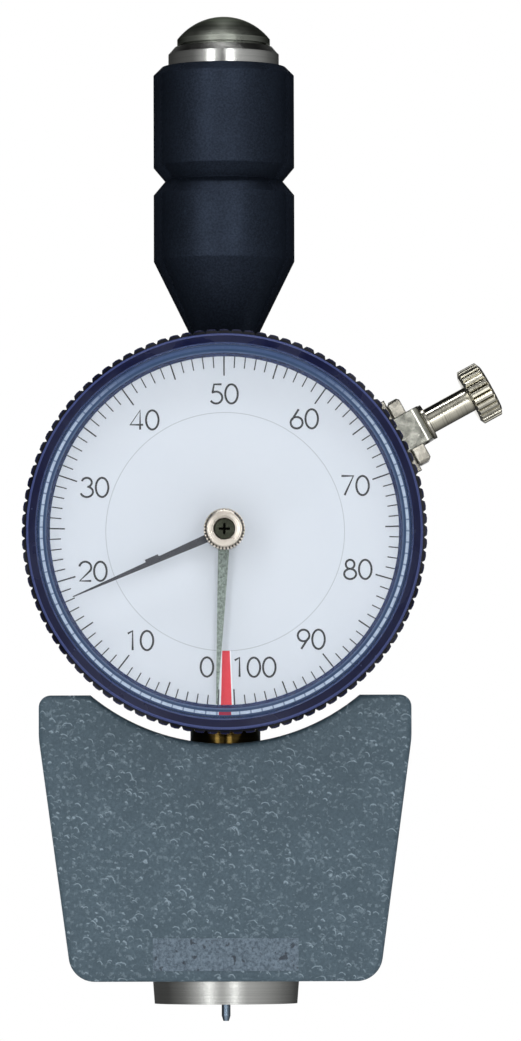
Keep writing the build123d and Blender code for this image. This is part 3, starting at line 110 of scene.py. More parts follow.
def middle_of(node: str) -> Vector:
    """Middle of a CAD node's box.

    Args:
        node: The node's name.

    Returns:
        The middle, in the row frame.
    """
    low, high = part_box(node)
    return (low + high) / 2


DIAL_CENTRE = middle_of("dial_plate")
CLAMP_SLOPE = math.radians(28.7)

TURNING_LINES = {
    Turning.SPINDLE: TurningLine(Vector((0, 0, 0)), (0, 0, 0)),
    Turning.DIAL: TurningLine(Vector((DIAL_CENTRE.x, 0, DIAL_CENTRE.z)), (math.pi / 2, 0, 0)),
    Turning.CLAMP: TurningLine(Vector((DIAL_CENTRE.x, middle_of("thumbscrew").y, DIAL_CENTRE.z)),
                               (0, CLAMP_SLOPE - math.pi / 2, 0)),
}


# ------------------------------------------------------------------ node building
@dataclass(frozen=True)
class Polar:
    """Sockets about a turning line: radius and depth in metres, angle in radians, turned place."""

    radius: bpy.types.NodeSocket
    depth: bpy.types.NodeSocket
    angle: bpy.types.NodeSocket
    turned: bpy.types.NodeSocket


class Graph:
    """Builds one shader node tree in plain steps."""

    KEPT_POSITIVE = 100.0
    EDGE_SAMPLES = 4

    def __init__(self, tree: bpy.types.NodeTree) -> None:
        """Starts on an empty tree.

        Args:
            tree: The node tree to fill.
        """
        self.tree = tree
        tree.nodes.clear()

    def add(self, kind: str, values: dict | None = None, **settings: object) -> bpy.types.Node:
        """Adds a node.

        Args:
            kind: The node's type name without its ShaderNode prefix.
            values: Input sockets by name or index, each a constant or a socket to link.
            **settings: Attributes of the node, such as operation.

        Returns:
            The new node.
        """
        made = self.tree.nodes.new("ShaderNode" + kind)
        for name, value in settings.items():
            setattr(made, name, value)
        for socket, value in (values or {}).items():
            if isinstance(value, bpy.types.NodeSocket):
                self.tree.links.new(value, made.inputs[socket])
            else:
                made.inputs[socket].default_value = value
        return made

    def math(self, operation: str, *values: object) -> bpy.types.NodeSocket:
        """Adds a Math node and returns its output.

        Args:
            operation: The node's operation.
            *values: Its inputs in order.

        Returns:
            The result's socket.
        """
        return self.add("Math", dict(enumerate(values)), operation=operation).outputs[0]

    def mix(self, mask: object, low: object, high: object) -> bpy.types.NodeSocket:
        """Mixes two colours.

        Args:
            mask: Share of the second colour.
            low: First colour.
            high: Second colour.

        Returns:
            The mixed colour's socket.
        """
        values = {"Factor": mask, 6: low, 7: high}
        return self.add("Mix", values, data_type="RGBA").outputs[2]

    def ramp(self, value: object, low: float, high: float, to_low: float = 0.0, to_high: float = 1.0
             ) -> bpy.types.NodeSocket:
        """Maps a range smoothly and clamps it.

        Args:
            value: The value to map.
            low: Start of the range.
            high: End of the range.
            to_low: Result at the start.
            to_high: Result at the end.

        Returns:
            The mapped value's socket.
        """
        values = {0: value, 1: low, 2: high, 3: to_low, 4: to_high}
        return self.add("MapRange", values, interpolation_type="SMOOTHSTEP").outputs[0]

    def bands(self, value: object, stops: tuple[tuple[float, Colour], ...]) -> bpy.types.NodeSocket:
        """Turns a value from 0 to 1 into colours, blended between stops.

        Args:
            value: The value to map.
            stops: Rising places with their colours; the first is at 0 and the last at 1.

        Returns:
            The colour's socket.
        """
        made = self.add("ValToRGB", {0: value})
        elements = made.color_ramp.elements
        elements[0].color = stops[0][1]
        elements[1].color = stops[-1][1]
        for place, colour in stops[1:-1]:
            elements.new(place).color = colour
        return made.outputs[0]

    def polar(self, coords: bpy.types.NodeSocket, line: TurningLine) -> Polar:
        """Radius from, depth along and angle about a turning line.

        Args:
            coords: Object coordinates.
            line: The turning line.

        Returns:
            The sockets.
        """
        moved = self.add("VectorMath", {0: coords, 1: line.point}, operation="SUBTRACT").outputs[0]
        turned = self.add("Mapping", {0: moved, "Rotation": line.turn}, vector_type="POINT").outputs[0]
        parts = self.add("SeparateXYZ", {0: turned})
        flat = self.add("CombineXYZ", {0: parts.outputs[0], 1: parts.outputs[1], 2: 0.0})
        radius = self.add("VectorMath", {0: flat.outputs[0]}, operation="LENGTH").outputs["Value"]
        angle = self.math("ARCTAN2", self.math("MULTIPLY", parts.outputs[0], -1.0), parts.outputs[1])
        return Polar(radius, parts.outputs[2], angle, turned)

    def within(self, value: object, low: float, high: float, soft: float) -> bpy.types.NodeSocket:
        """One inside a range and zero outside it.

        Args:
            value: The value to test.
            low: Start of the range.
            high: End of the range.
            soft: Width of the blend at either end.

        Returns:
            The mask's socket.
        """
        rise = self.ramp(value, low - soft, low)
        return self.math("MULTIPLY", rise, self.ramp(value, high, high + soft, 1.0, 0.0))

    def off_middle(self, steps: bpy.types.NodeSocket, shift: float = 0.0) -> bpy.types.NodeSocket:
        """How far a count of steps lies from the middle between two whole steps.

        Args:
            steps: The count; it may be negative.
            shift: Share of a step to move the pattern by.

        Returns:
            A socket from 0 at the middle to 0.5 at a whole step.
        """
        share = self.math("FRACT", self.math("ADD", steps, self.KEPT_POSITIVE + shift))
        return self.math("ABSOLUTE", self.math("SUBTRACT", share, 0.5))

    def near_edges(self, radius: float, samples: int, start: float, full: float) -> bpy.types.NodeSocket:
        """Finds the strips along sharp edges.

        Args:
            radius: How far a strip reaches, in metres.
            samples: Rays that look for the edge.
            start: Agreement of the rounded and the true normal where the strip starts.
            full: Their agreement where it is full.

        Returns:
            The mask's socket.
        """
        soft = self.add("Bevel", {"Radius": radius}, samples=samples).outputs[0]
        straight = self.add("NewGeometry").outputs["Normal"]
        facing = self.add("VectorMath", {0: soft, 1: straight}, operation="DOT_PRODUCT").outputs["Value"]
        return self.ramp(facing, start, full)

    def relief(self, height: bpy.types.NodeSocket, strength: float, distance: float, edge: float = 0.0
               ) -> bpy.types.NodeSocket:
        """Fine relief on a surface, with its edges rounded.

        Args:
            height: The relief's height.
            strength: How strongly it shows.
            distance: Its depth, in metres.
            edge: Radius of the rounded edges in metres, or zero for sharp ones.

        Returns:
            The normal's socket.
        """
        values = {"Strength": strength, "Distance": distance, "Height": height}
        if edge:
            values["Normal"] = self.add("Bevel", {"Radius": edge}, samples=self.EDGE_SAMPLES).outputs[0]
        return self.add("Bump", values).outputs[0]


def effect_group(
    name: str, inputs: dict[str, str], outputs: dict[str, str]
) -> tuple[bpy.types.NodeTree, Graph, bpy.types.Node, bpy.types.Node]:
    """Starts a node group that several finishes share.

    Args:
        name: The group's name.
        inputs: Input names with their socket types.
        outputs: Output names with their socket types.

    Returns:
        The tree, its graph, and its input and output nodes.
    """
    tree = bpy.data.node_groups.new(name, "ShaderNodeTree")
    for label, kind in inputs.items():
        tree.interface.new_socket(label, in_out="INPUT", socket_type="NodeSocket" + kind)
    for label, kind in outputs.items():
        tree.interface.new_socket(label, in_out="OUTPUT", socket_type="NodeSocket" + kind)
    graph = Graph(tree)
    source = tree.nodes.new("NodeGroupInput")
    result = tree.nodes.new("NodeGroupOutput")
    return tree, graph, source, result


class Effects:
    """The shared effects, each built once."""

    RING_SLOPE = 1.7
    BROAD_SHARE = 0.17
    HAIR_BEND = 0.004
    HAIR_WIDTH = 0.012
    HAIR_BREAKS = (0.56, 0.62)
    SPECK_SHARE = 2.3
    SPECK_REACH = (0.03, 0.09)
    FLECK_BEND = 0.0007
    FLECK_DRIFT = (0.011, 0.007)
    FLECK_RING = 0.33
    FLECK_WIDTH = 0.05
    FLECK_ARC = (0.25, 0.7)
    FLECK_LAYERS = ((1.0, 0.4), (1.6, 0.45), (2.4, 0.4))
    LAYER_SHARE = 0.75
    DIMPLE_SHARE = 0.7

    def __init__(self) -> None:
        """Builds every group."""
        self.grain = self._grain()
        self.rings = self._rings()
        self.smudges = self._smudges()
        self.scratches = self._scratches()
        self.hammer = self._hammer()

    @staticmethod
    def _grain() -> bpy.types.NodeTree:
        """Fine even grain of a blasted, moulded or painted surface.

        Returns:
            The group.
        """
        tree, graph, source, result = effect_group(
            "fine_grain", {"Vector": "Vector", "Scale": "Float"}, {"Height": "Float", "Mask": "Float"})
        noise = graph.add("TexNoise", {
            "Vector": source.outputs[0], "Scale": source.outputs[1], "Detail": 4.0, "Roughness": 0.7})
        tree.links.new(noise.outputs[0], result.inputs[0])
        tree.links.new(graph.ramp(noise.outputs[0], 0.35, 0.65), result.inputs[1])
        return tree

    @staticmethod
    def _rings() -> bpy.types.NodeTree:
        """Lathe marks: rings about the vector's Z axis, on faces and walls alike.

        Returns:
            The group.
        """
        tree, graph, source, result = effect_group(
            "turning_marks", {"Vector": "Vector", "Scale": "Float"}, {"Height": "Float", "Mask": "Float"})
        parts = graph.add("SeparateXYZ", {0: source.outputs[0]})
        radius = graph.math("SQRT", graph.math(
            "ADD", graph.math("MULTIPLY", parts.outputs[0], parts.outputs[0]),
            graph.math("MULTIPLY", parts.outputs[1], parts.outputs[1])))
        along = graph.math("ADD", radius, graph.math("MULTIPLY", parts.outputs[2], Effects.RING_SLOPE))
        fine = graph.add("TexNoise", {"W": along, "Scale": source.outputs[1], "Detail": 3.0},
                         noise_dimensions="1D")
        coarse = graph.math("MULTIPLY", source.outputs[1], Effects.BROAD_SHARE)
        broad = graph.add("TexNoise", {"W": along, "Scale": coarse, "Detail": 1.0}, noise_dimensions="1D")
        tree.links.new(fine.outputs[0], result.inputs[0])
        mask = graph.math("MULTIPLY", graph.ramp(fine.outputs[0], 0.3, 0.7),
                          graph.ramp(broad.outputs[0], 0.3, 0.7))
        tree.links.new(mask, result.inputs[1])
        return tree

    @staticmethod
    def _smudges() -> bpy.types.NodeTree:
        """Uneven gloss of a handled surface, between two roughness values.

        Returns:
            The group.
        """
        tree, graph, source, result = effect_group(
            "handled_gloss", {"Vector": "Vector", "Scale": "Float", "Low": "Float", "High": "Float"},
            {"Roughness": "Float", "Mask": "Float"})
        noise = graph.add("TexNoise", {
            "Vector": source.outputs[0], "Scale": source.outputs[1], "Detail": 5.0, "Distortion": 0.6})
        mask = graph.ramp(noise.outputs[0], 0.35, 0.7)
        span = graph.math("SUBTRACT", source.outputs[3], source.outputs[2])
        rough = graph.math("ADD", source.outputs[2], graph.math("MULTIPLY", span, mask))
        tree.links.new(rough, result.inputs[0])
        tree.links.new(mask, result.inputs[1])
        return tree

    @staticmethod
    def _scratches() -> bpy.types.NodeTree:
        """Sparse hairline scratches and tiny specks.

        Returns:
            The group.
        """
        tree, graph, source, result = effect_group(
            "hairlines", {"Vector": "Vector", "Scale": "Float"}, {"Lines": "Float", "Specks": "Float"})
        bent = graph.add("TexNoise", {"Vector": source.outputs[0], "Scale": 90.0, "Detail": 2.0})
        pushed = graph.add("VectorMath", {0: bent.outputs[1], 3: Effects.HAIR_BEND}, operation="SCALE")
        place = graph.add("VectorMath", {0: source.outputs[0], 1: pushed.outputs[0]}, operation="ADD")
        cells = graph.add("TexVoronoi", {"Vector": place.outputs[0], "Scale": source.outputs[1]},
                          feature="DISTANCE_TO_EDGE")
        broken = graph.add("TexNoise", {"Vector": source.outputs[0], "Scale": 240.0, "Detail": 1.0})
        line = graph.math("SUBTRACT", 1.0, graph.ramp(cells.outputs[0], 0.0, Effects.HAIR_WIDTH))
        kept = graph.ramp(broken.outputs[0], *Effects.HAIR_BREAKS)
        dense = graph.math("MULTIPLY", source.outputs[1], Effects.SPECK_SHARE)
        dots = graph.add("TexVoronoi", {"Vector": source.outputs[0], "Scale": dense})
        speck = graph.math("SUBTRACT", 1.0, graph.ramp(dots.outputs[0], *Effects.SPECK_REACH))
        tree.links.new(graph.math("MULTIPLY", line, kept), result.inputs[0])
        tree.links.new(speck, result.inputs[1])
        return tree

    @staticmethod
    def _hammer() -> bpy.types.NodeTree:
        """Hammered enamel: broad soft dimples with short crescent flecks scattered over them, painted
        highlights mostly on the upper side of their cells.

        Returns:
            The group.
        """
        tree, graph, source, result = effect_group(
            "hammered_enamel", {"Vector": "Vector", "Scale": "Float"},
            {"Height": "Float", "Fleck highlights": "Float", "Cloud": "Float"})
        bent = graph.add("TexNoise", {"Vector": source.outputs[0], "Scale": 900.0, "Detail": 3.0})
        centred = graph.add("VectorMath", {0: bent.outputs[1], 1: (0.5, 0.5, 0.5)}, operation="SUBTRACT")
        pushed = graph.add("VectorMath", {0: centred.outputs[0], 3: Effects.FLECK_BEND}, operation="SCALE")
        place = graph.add("VectorMath", {0: source.outputs[0], 1: pushed.outputs[0]}, operation="ADD")
        fleck_highlights = None
        for share, threshold in Effects.FLECK_LAYERS:
            fleck = Effects._fleck_layer(graph, place.outputs[0], source.outputs[1], share, threshold)
            fleck_highlights = fleck if fleck_highlights is None else graph.math(
                "MAXIMUM", fleck_highlights, graph.math("MULTIPLY", fleck, Effects.LAYER_SHARE))
        dimples = graph.add("TexNoise", {"Vector": source.outputs[0], "Scale": 800.0, "Detail": 2.0})
        cloud = graph.add("TexNoise", {"Vector": source.outputs[0], "Scale": 240.0, "Detail": 5.0})
        height = graph.math("ADD", fleck_highlights, graph.math("MULTIPLY", dimples.outputs[0], Effects.DIMPLE_SHARE))
        tree.links.new(height, result.inputs[0])
        tree.links.new(fleck_highlights, result.inputs[1])
        tree.links.new(cloud.outputs[0], result.inputs[2])
        return tree

    @staticmethod
    def _fleck_layer(graph: Graph, place: bpy.types.NodeSocket, scale: bpy.types.NodeSocket, share: float,
                     threshold: float) -> bpy.types.NodeSocket:
        """One layer of crescent flecks, painted highlights: each an arc of a small ring, mostly on the upper
        side of some cells.

        Args:
            graph: The graph to add to.
            place: The bent coordinates.
            scale: Cells per metre.
            share: Factor on the scale; finer layers are above one.
            threshold: Share of the cells that stay empty.

        Returns:
            The flecks' socket.
        """
        across, up = Effects.FLECK_DRIFT
        moved = graph.add("VectorMath", {0: place, 1: (across * share, 0.0, up)}, operation="ADD").outputs[0]
        cells = graph.add("TexVoronoi", {"Vector": moved, "Scale": graph.math("MULTIPLY", scale, share)})
        away = graph.add("VectorMath", {0: moved, 1: cells.outputs["Position"]}, operation="SUBTRACT")
        facing = graph.add("VectorMath", {0: cells.outputs["Color"], 1: (-0.5, -0.5, 0.2)}, operation="ADD")
        unit = graph.add("VectorMath", {0: away.outputs[0]}, operation="NORMALIZE")
        along = graph.add("VectorMath", {0: facing.outputs[0]}, operation="NORMALIZE")
        turn = graph.add("VectorMath", {0: unit.outputs[0], 1: along.outputs[0]}, operation="DOT_PRODUCT")
        off_ring = graph.math("SUBTRACT", cells.outputs["Distance"], Effects.FLECK_RING)
        width = graph.math("MULTIPLY", Effects.FLECK_WIDTH, share)
        band = graph.ramp(graph.math("ABSOLUTE", off_ring), 0.0, width, 1.0, 0.0)
        arc = graph.ramp(turn.outputs["Value"], *Effects.FLECK_ARC)
        parts = graph.add("SeparateColor", {0: cells.outputs["Color"]})
        chosen = graph.math("MULTIPLY", graph.ramp(parts.outputs[0], threshold, threshold + 0.1),
                            graph.ramp(parts.outputs[1], 0.0, 1.0, 0.35, 1.0))
        return graph.math("MULTIPLY", graph.math("MULTIPLY", band, arc), chosen)


EFFECTS = Effects()


class Finish:
    """One finish: it starts a material and gives it to pieces."""

    name: str

    def start(self, name: str) -> tuple[bpy.types.Material, Graph, bpy.types.Node, bpy.types.NodeSocket]:
        """Makes a material with its shader, output and coordinates.

        Args:
            name: The material's name.

        Returns:
            The material, its graph, the Principled node and the object coordinates.
        """
        material = bpy.data.materials.new(name)
        material.use_nodes = True
        graph = Graph(material.node_tree)
        shader = graph.add("BsdfPrincipled")
        graph.add("OutputMaterial", {0: shader.outputs[0]})
        coords = graph.add("TexCoord").outputs["Object"]
        return material, graph, shader, coords

    def material(self) -> bpy.types.Material:
        """Builds the material."""
        raise NotImplementedError

    def dress(self, *pieces: bpy.types.Object) -> None:
        """Gives the finish to pieces.

        Args:
            *pieces: The objects to dress.
        """
        made = self.material()
        for piece in pieces:
            piece.data.materials.clear()
            piece.data.materials.append(made)


def set_inputs(graph: Graph, shader: bpy.types.Node, values: dict[str, object]) -> None:
    """Sets a shader's sockets to constants or links.

    Args:
        graph: The graph that holds the shader.
        shader: The shader node.
        values: Socket names with a constant or a socket.
    """
    for name, value in values.items():
        if isinstance(value, bpy.types.NodeSocket):
            graph.tree.links.new(value, shader.inputs[name])
        else:
            shader.inputs[name].default_value = value


PASSED_LIGHT = (0.96, 0.97, 0.98, 1.0)


def pass_light(graph: Graph, shader: bpy.types.Node) -> None:
    """Lets a lamp's light pass a clear piece, so that what lies behind it stays lit.

    Args:
        graph: The graph that holds the shader.
        shader: The piece's shader.
    """
    rays = graph.add("LightPath")
    soft = graph.math("MAXIMUM", rays.outputs["Is Shadow Ray"], rays.outputs["Is Diffuse Ray"])
    clear = graph.add("BsdfTransparent", {0: PASSED_LIGHT})
    both = graph.add("MixShader", {0: soft, 1: shader.outputs[0], 2: clear.outputs[0]})
    output = next(n for n in graph.tree.nodes if n.type == "OUTPUT_MATERIAL")
    graph.tree.links.new(both.outputs[0], output.inputs[0])


def group_node(graph: Graph, tree: bpy.types.NodeTree, **values: object) -> bpy.types.Node:
    """Places a shared effect.

    Args:
        graph: The graph of the material.
        tree: The effect's group.
        **values: Its inputs, with an underscore for a space.

    Returns:
        The group node.
    """
    made = graph.tree.nodes.new("ShaderNodeGroup")
    made.node_tree = tree
    for name, value in values.items():
        set_inputs(graph, made, {name.replace("_", " "): value})
    return made


@dataclass(frozen=True)
class Shade:
    """A darker or lighter zone about a turning line, by radius and depth in millimetres, used for painted
    shade, painted highlights and painted refraction.
    """

    colour: Colour
    radii: tuple[float, float]
    depths: tuple[float, float] = (-500.0, 500.0)
    share: float = 1.0
    soft: float = 0.05
    teeth: int = 0

    ROOT = (0.14, 0.3)

    def lay(self, graph: Graph, tint: object, place: Polar) -> bpy.types.NodeSocket:
        """Lays the zone over a colour.

        Args:
            graph: The material's graph.
            tint: The colour below.
            place: The turning line's sockets.

        Returns:
            The new colour's socket.
        """
        ring = graph.within(place.radius, self.radii[0] * MM, self.radii[1] * MM, self.soft * MM)
        slab = graph.within(place.depth, self.depths[0] * MM, self.depths[1] * MM, self.soft * MM)
        mask = graph.math("MULTIPLY", graph.math("MULTIPLY", ring, slab), self.share)
        if self.teeth:
            turns = graph.math("MULTIPLY", place.angle, self.teeth / (2 * math.pi))
            root = graph.ramp(graph.off_middle(turns), *self.ROOT, 1.0, 0.0)
            mask = graph.math("MULTIPLY", mask, root)
        return graph.mix(mask, tint, self.colour)


@dataclass(frozen=True)
class TurnedMetal(Finish):
    """Metal with lathe marks round one of the turning lines."""

    name: str
    colour: Colour
    dark: Colour
    rough: float
    line: Turning = Turning.SPINDLE
    marks: float = 2600.0
    depth: float = 0.25
    metal: float = 1.0
    edge: float = 0.00008
    shades: tuple[Shade, ...] = ()
    grazing: Colour = (1.0, 1.0, 1.0, 1.0)
    mark_depth: float = 0.00003
    smudge_scale: float = 160.0
    scratch_scale: float = 150.0

    def material(self) -> bpy.types.Material:
        """Builds the material.

        Returns:
            The material.
        """
        made, graph, shader, coords = self.start(self.name)
        place = graph.polar(coords, TURNING_LINES[self.line])
        rings = group_node(graph, EFFECTS.rings, Vector=place.turned, Scale=self.marks)
        gloss = group_node(graph, EFFECTS.smudges, Vector=coords, Scale=self.smudge_scale,
                           Low=self.rough * 0.8, High=self.rough * 1.35)
        lines = group_node(graph, EFFECTS.scratches, Vector=coords, Scale=self.scratch_scale)
        tint = graph.mix(graph.math("MULTIPLY", rings.outputs[1], 0.5), self.colour, self.dark)
        tint = graph.mix(graph.math("MULTIPLY", lines.outputs[1], 0.4), tint, self.dark)
        for shade in self.shades:
            tint = shade.lay(graph, tint, place)
        height = graph.math("SUBTRACT", rings.outputs[0], graph.math("MULTIPLY", lines.outputs[0], 0.6))
        bump = graph.relief(height, self.depth, self.mark_depth, self.edge)
        set_inputs(graph, shader, {"Base Color": tint, "Metallic": self.metal, "Specular Tint": self.grazing,
                                   "Roughness": gloss.outputs[0], "Normal": bump})
        return made


@dataclass(frozen=True)
class PlainMetal(Finish):
    """Metal with fine grain and handled gloss, and a painted shade along its edges where asked: springs,
    screws, plated parts.
    """

    name: str
    colour: Colour
    dark: Colour
    rough: float
    grain: float = 4200.0
    depth: float = 0.2
    edge: float = 0.00012
    tarnish: float = 0.0
    mottle: float = 0.3
    tarnished: Colour = srgb(34, 34, 26)
    tarnish_reach: float = 0.0005
    grain_depth: float = 0.00002
    spot_scale: float = 900.0
    smudge_scale: float = 260.0
    scratch_scale: float = 220.0

    def material(self) -> bpy.types.Material:
        """Builds the material.

        Returns:
            The material.
        """
        made, graph, shader, coords = self.start(self.name)
        grain = group_node(graph, EFFECTS.grain, Vector=coords, Scale=self.grain)
        spots = group_node(graph, EFFECTS.grain, Vector=coords, Scale=self.spot_scale)
        gloss = group_node(graph, EFFECTS.smudges, Vector=coords, Scale=self.smudge_scale,
                           Low=self.rough * 0.75, High=self.rough * 1.5)
        lines = group_node(graph, EFFECTS.scratches, Vector=coords, Scale=self.scratch_scale)
        tint = graph.mix(graph.math("MULTIPLY", grain.outputs[1], 0.35), self.colour, self.dark)
        tint = graph.mix(graph.math("MULTIPLY", spots.outputs[1], self.mottle), tint, self.dark)
        # Painted shade: dark outlines along the edges, standing in for contact shadow between the clamp's
        # plated parts.
        if self.tarnish:
            darker_edges = graph.math("MULTIPLY", graph.near_edges(self.tarnish_reach, 8, 0.995, 0.82), self.tarnish)
            tint = graph.mix(darker_edges, tint, self.tarnished)
        height = graph.math("SUBTRACT", grain.outputs[0], graph.math("MULTIPLY", lines.outputs[0], 0.5))
        bump = graph.relief(height, self.depth, self.grain_depth, self.edge)
        set_inputs(graph, shader, {"Base Color": tint, "Metallic": 1.0,
                                   "Roughness": gloss.outputs[0], "Normal": bump})
        return made


@dataclass(frozen=True)
class HammertonePaint(Finish):
    """Grey hammered enamel of the cast block, with painted highlights in its crescent flecks, and darker
    along its edges.
    """

    name: str = "hammertone_paint"
    base: Colour = srgb(76, 93, 104)
    deep: Colour = srgb(54, 70, 80)
    # Colour of the painted highlights on the dimples' rims.
    fleck: Colour = srgb(156, 174, 186)
    edge_tone: Colour = srgb(44, 54, 60)
    cell_scale: float = 400.0
    grain_scale: float = 2600.0
    pit_scale: float = 1900.0
    dimple_depth: float = 0.00014
    thin_reach: float = 0.0009

    def material(self) -> bpy.types.Material:
        """Builds the material.

        Returns:
            The material.
        """
        made, graph, shader, coords = self.start(self.name)
        hammer = group_node(graph, EFFECTS.hammer, Vector=coords, Scale=self.cell_scale)
        grain = group_node(graph, EFFECTS.grain, Vector=coords, Scale=self.grain_scale)
        pits = graph.add("TexNoise", {"Vector": coords, "Scale": self.pit_scale, "Detail": 2.0})
        tint = graph.mix(graph.ramp(hammer.outputs[2], 0.25, 0.75, 0.0, 0.4), self.base, self.deep)
        tint = graph.mix(graph.math("MULTIPLY", grain.outputs[1], 0.55), tint, self.deep)
        tint = graph.mix(graph.ramp(pits.outputs[0], 0.56, 0.7, 0.0, 0.2), tint, self.fleck)
        # Painted highlights: light crescent flecks on the dimples' upper rims.
        tint = graph.mix(graph.math("MULTIPLY", hammer.outputs[1], 0.8), tint, self.fleck)
        # Darker along the edges.
        darker_edges = graph.near_edges(self.thin_reach, 6, 0.999, 0.9)
        tint = graph.mix(graph.math("MULTIPLY", darker_edges, 0.7), tint, self.edge_tone)
        height = graph.math("ADD", hammer.outputs[0], graph.math("MULTIPLY", grain.outputs[0], 0.15))
        bump = graph.relief(height, 0.5, self.dimple_depth)
        rough = graph.ramp(hammer.outputs[1], 0.0, 1.0, 0.46, 0.3)
        set_inputs(graph, shader, {"Base Color": tint, "Metallic": 0.0, "Roughness": rough,
                                   "Specular IOR Level": 0.25, "Normal": bump})
        return made


@dataclass(frozen=True)
class SatinAnodise(Finish):
    """Satin black anodised aluminium with fine turning marks."""

    name: str = "black_anodised"
    colour: Colour = srgb(37, 43, 54)
    lint: Colour = srgb(64, 76, 94)
    grazing: Colour = srgb(60, 66, 76)
    rough: float = 0.48
    metal: float = 0.88
    edge: float = 0.00015
    grain_depth: float = 0.00002
    mark_scale: float = 3200.0
    grain_scale: float = 3600.0
    smudge_scale: float = 70.0
    scratch_scale: float = 120.0

    def material(self) -> bpy.types.Material:
        """Builds the material.

        Returns:
            The material.
        """
        made, graph, shader, coords = self.start(self.name)
        rings = group_node(graph, EFFECTS.rings, Vector=coords, Scale=self.mark_scale)
        grain = group_node(graph, EFFECTS.grain, Vector=coords, Scale=self.grain_scale)
        gloss = group_node(graph, EFFECTS.smudges, Vector=coords, Scale=self.smudge_scale,
                           Low=self.rough * 0.9, High=self.rough * 1.2)
        lines = group_node(graph, EFFECTS.scratches, Vector=coords, Scale=self.scratch_scale)
        tint = graph.mix(graph.math("MULTIPLY", grain.outputs[1], 0.3), self.colour, self.lint)
        tint = graph.mix(graph.math("MULTIPLY", lines.outputs[1], 0.35), tint, self.lint)
        height = graph.math("ADD", graph.math("MULTIPLY", rings.outputs[0], 0.4), grain.outputs[0])
        bump = graph.relief(height, 0.3, self.grain_depth, self.edge)
        set_inputs(graph, shader, {"Base Color": tint, "Metallic": self.metal, "Roughness": gloss.outputs[0],
                                   "Specular Tint": self.grazing, "Normal": bump})
        return made


@dataclass(frozen=True)
class GlossPlastic(Finish):
    """Moulded plastic with a faint orange-peel gloss and dust."""

    name: str
    colour: Colour
    dust: Colour
    rough: float = 0.2
    specular: float = 0.4
    shades: tuple[Shade, ...] = ()
    edge: float = 0.00012
    peel_depth: float = 0.00004
    peel_scale: float = 900.0
    smudge_scale: float = 140.0
    scratch_scale: float = 260.0

    def material(self) -> bpy.types.Material:
        """Builds the material.

        Returns:
            The material.
        """
        made, graph, shader, coords = self.start(self.name)
        peel = group_node(graph, EFFECTS.grain, Vector=coords, Scale=self.peel_scale)
        gloss = group_node(graph, EFFECTS.smudges, Vector=coords, Scale=self.smudge_scale,
                           Low=self.rough * 0.8, High=self.rough * 1.7)
        lines = group_node(graph, EFFECTS.scratches, Vector=coords, Scale=self.scratch_scale)
        tint = graph.mix(graph.math("MULTIPLY", gloss.outputs[1], 0.06), self.colour, self.dust)
        if self.shades:
            place = graph.polar(coords, TURNING_LINES[Turning.DIAL])
            for shade in self.shades:
                tint = shade.lay(graph, tint, place)
        tint = graph.mix(graph.math("MULTIPLY", lines.outputs[1], 0.35), tint, self.dust)
        height = graph.math("SUBTRACT", peel.outputs[0], graph.math("MULTIPLY", lines.outputs[0], 0.7))
        bump = graph.relief(height, 0.15, self.peel_depth, self.edge)
        set_inputs(graph, shader, {"Base Color": tint, "Roughness": gloss.outputs[0],
                                   "Specular IOR Level": self.specular, "Normal": bump})
        return made


@dataclass(frozen=True)
class ClearCrystal(Finish):
    """Clear moulded crystal that lets light reach the dial."""

    name: str = "clear_crystal"
    tint: Colour = (0.97, 0.985, 1.0, 1.0)
    refraction: float = 1.49
    scratch_depth: float = 0.00001
    smudge_scale: float = 60.0
    scratch_scale: float = 180.0

    def material(self) -> bpy.types.Material:
        """Builds the material.

        Returns:
            The material.
        """
        made, graph, shader, coords = self.start(self.name)
        gloss = group_node(graph, EFFECTS.smudges, Vector=coords, Scale=self.smudge_scale, Low=0.0, High=0.03)
        lines = group_node(graph, EFFECTS.scratches, Vector=coords, Scale=self.scratch_scale)
        bump = graph.relief(lines.outputs[0], 0.05, self.scratch_depth)
        set_inputs(graph, shader, {"Base Color": self.tint, "Transmission Weight": 1.0,
                                   "IOR": self.refraction, "Roughness": gloss.outputs[0], "Normal": bump})
        pass_light(graph, shader)
        return made


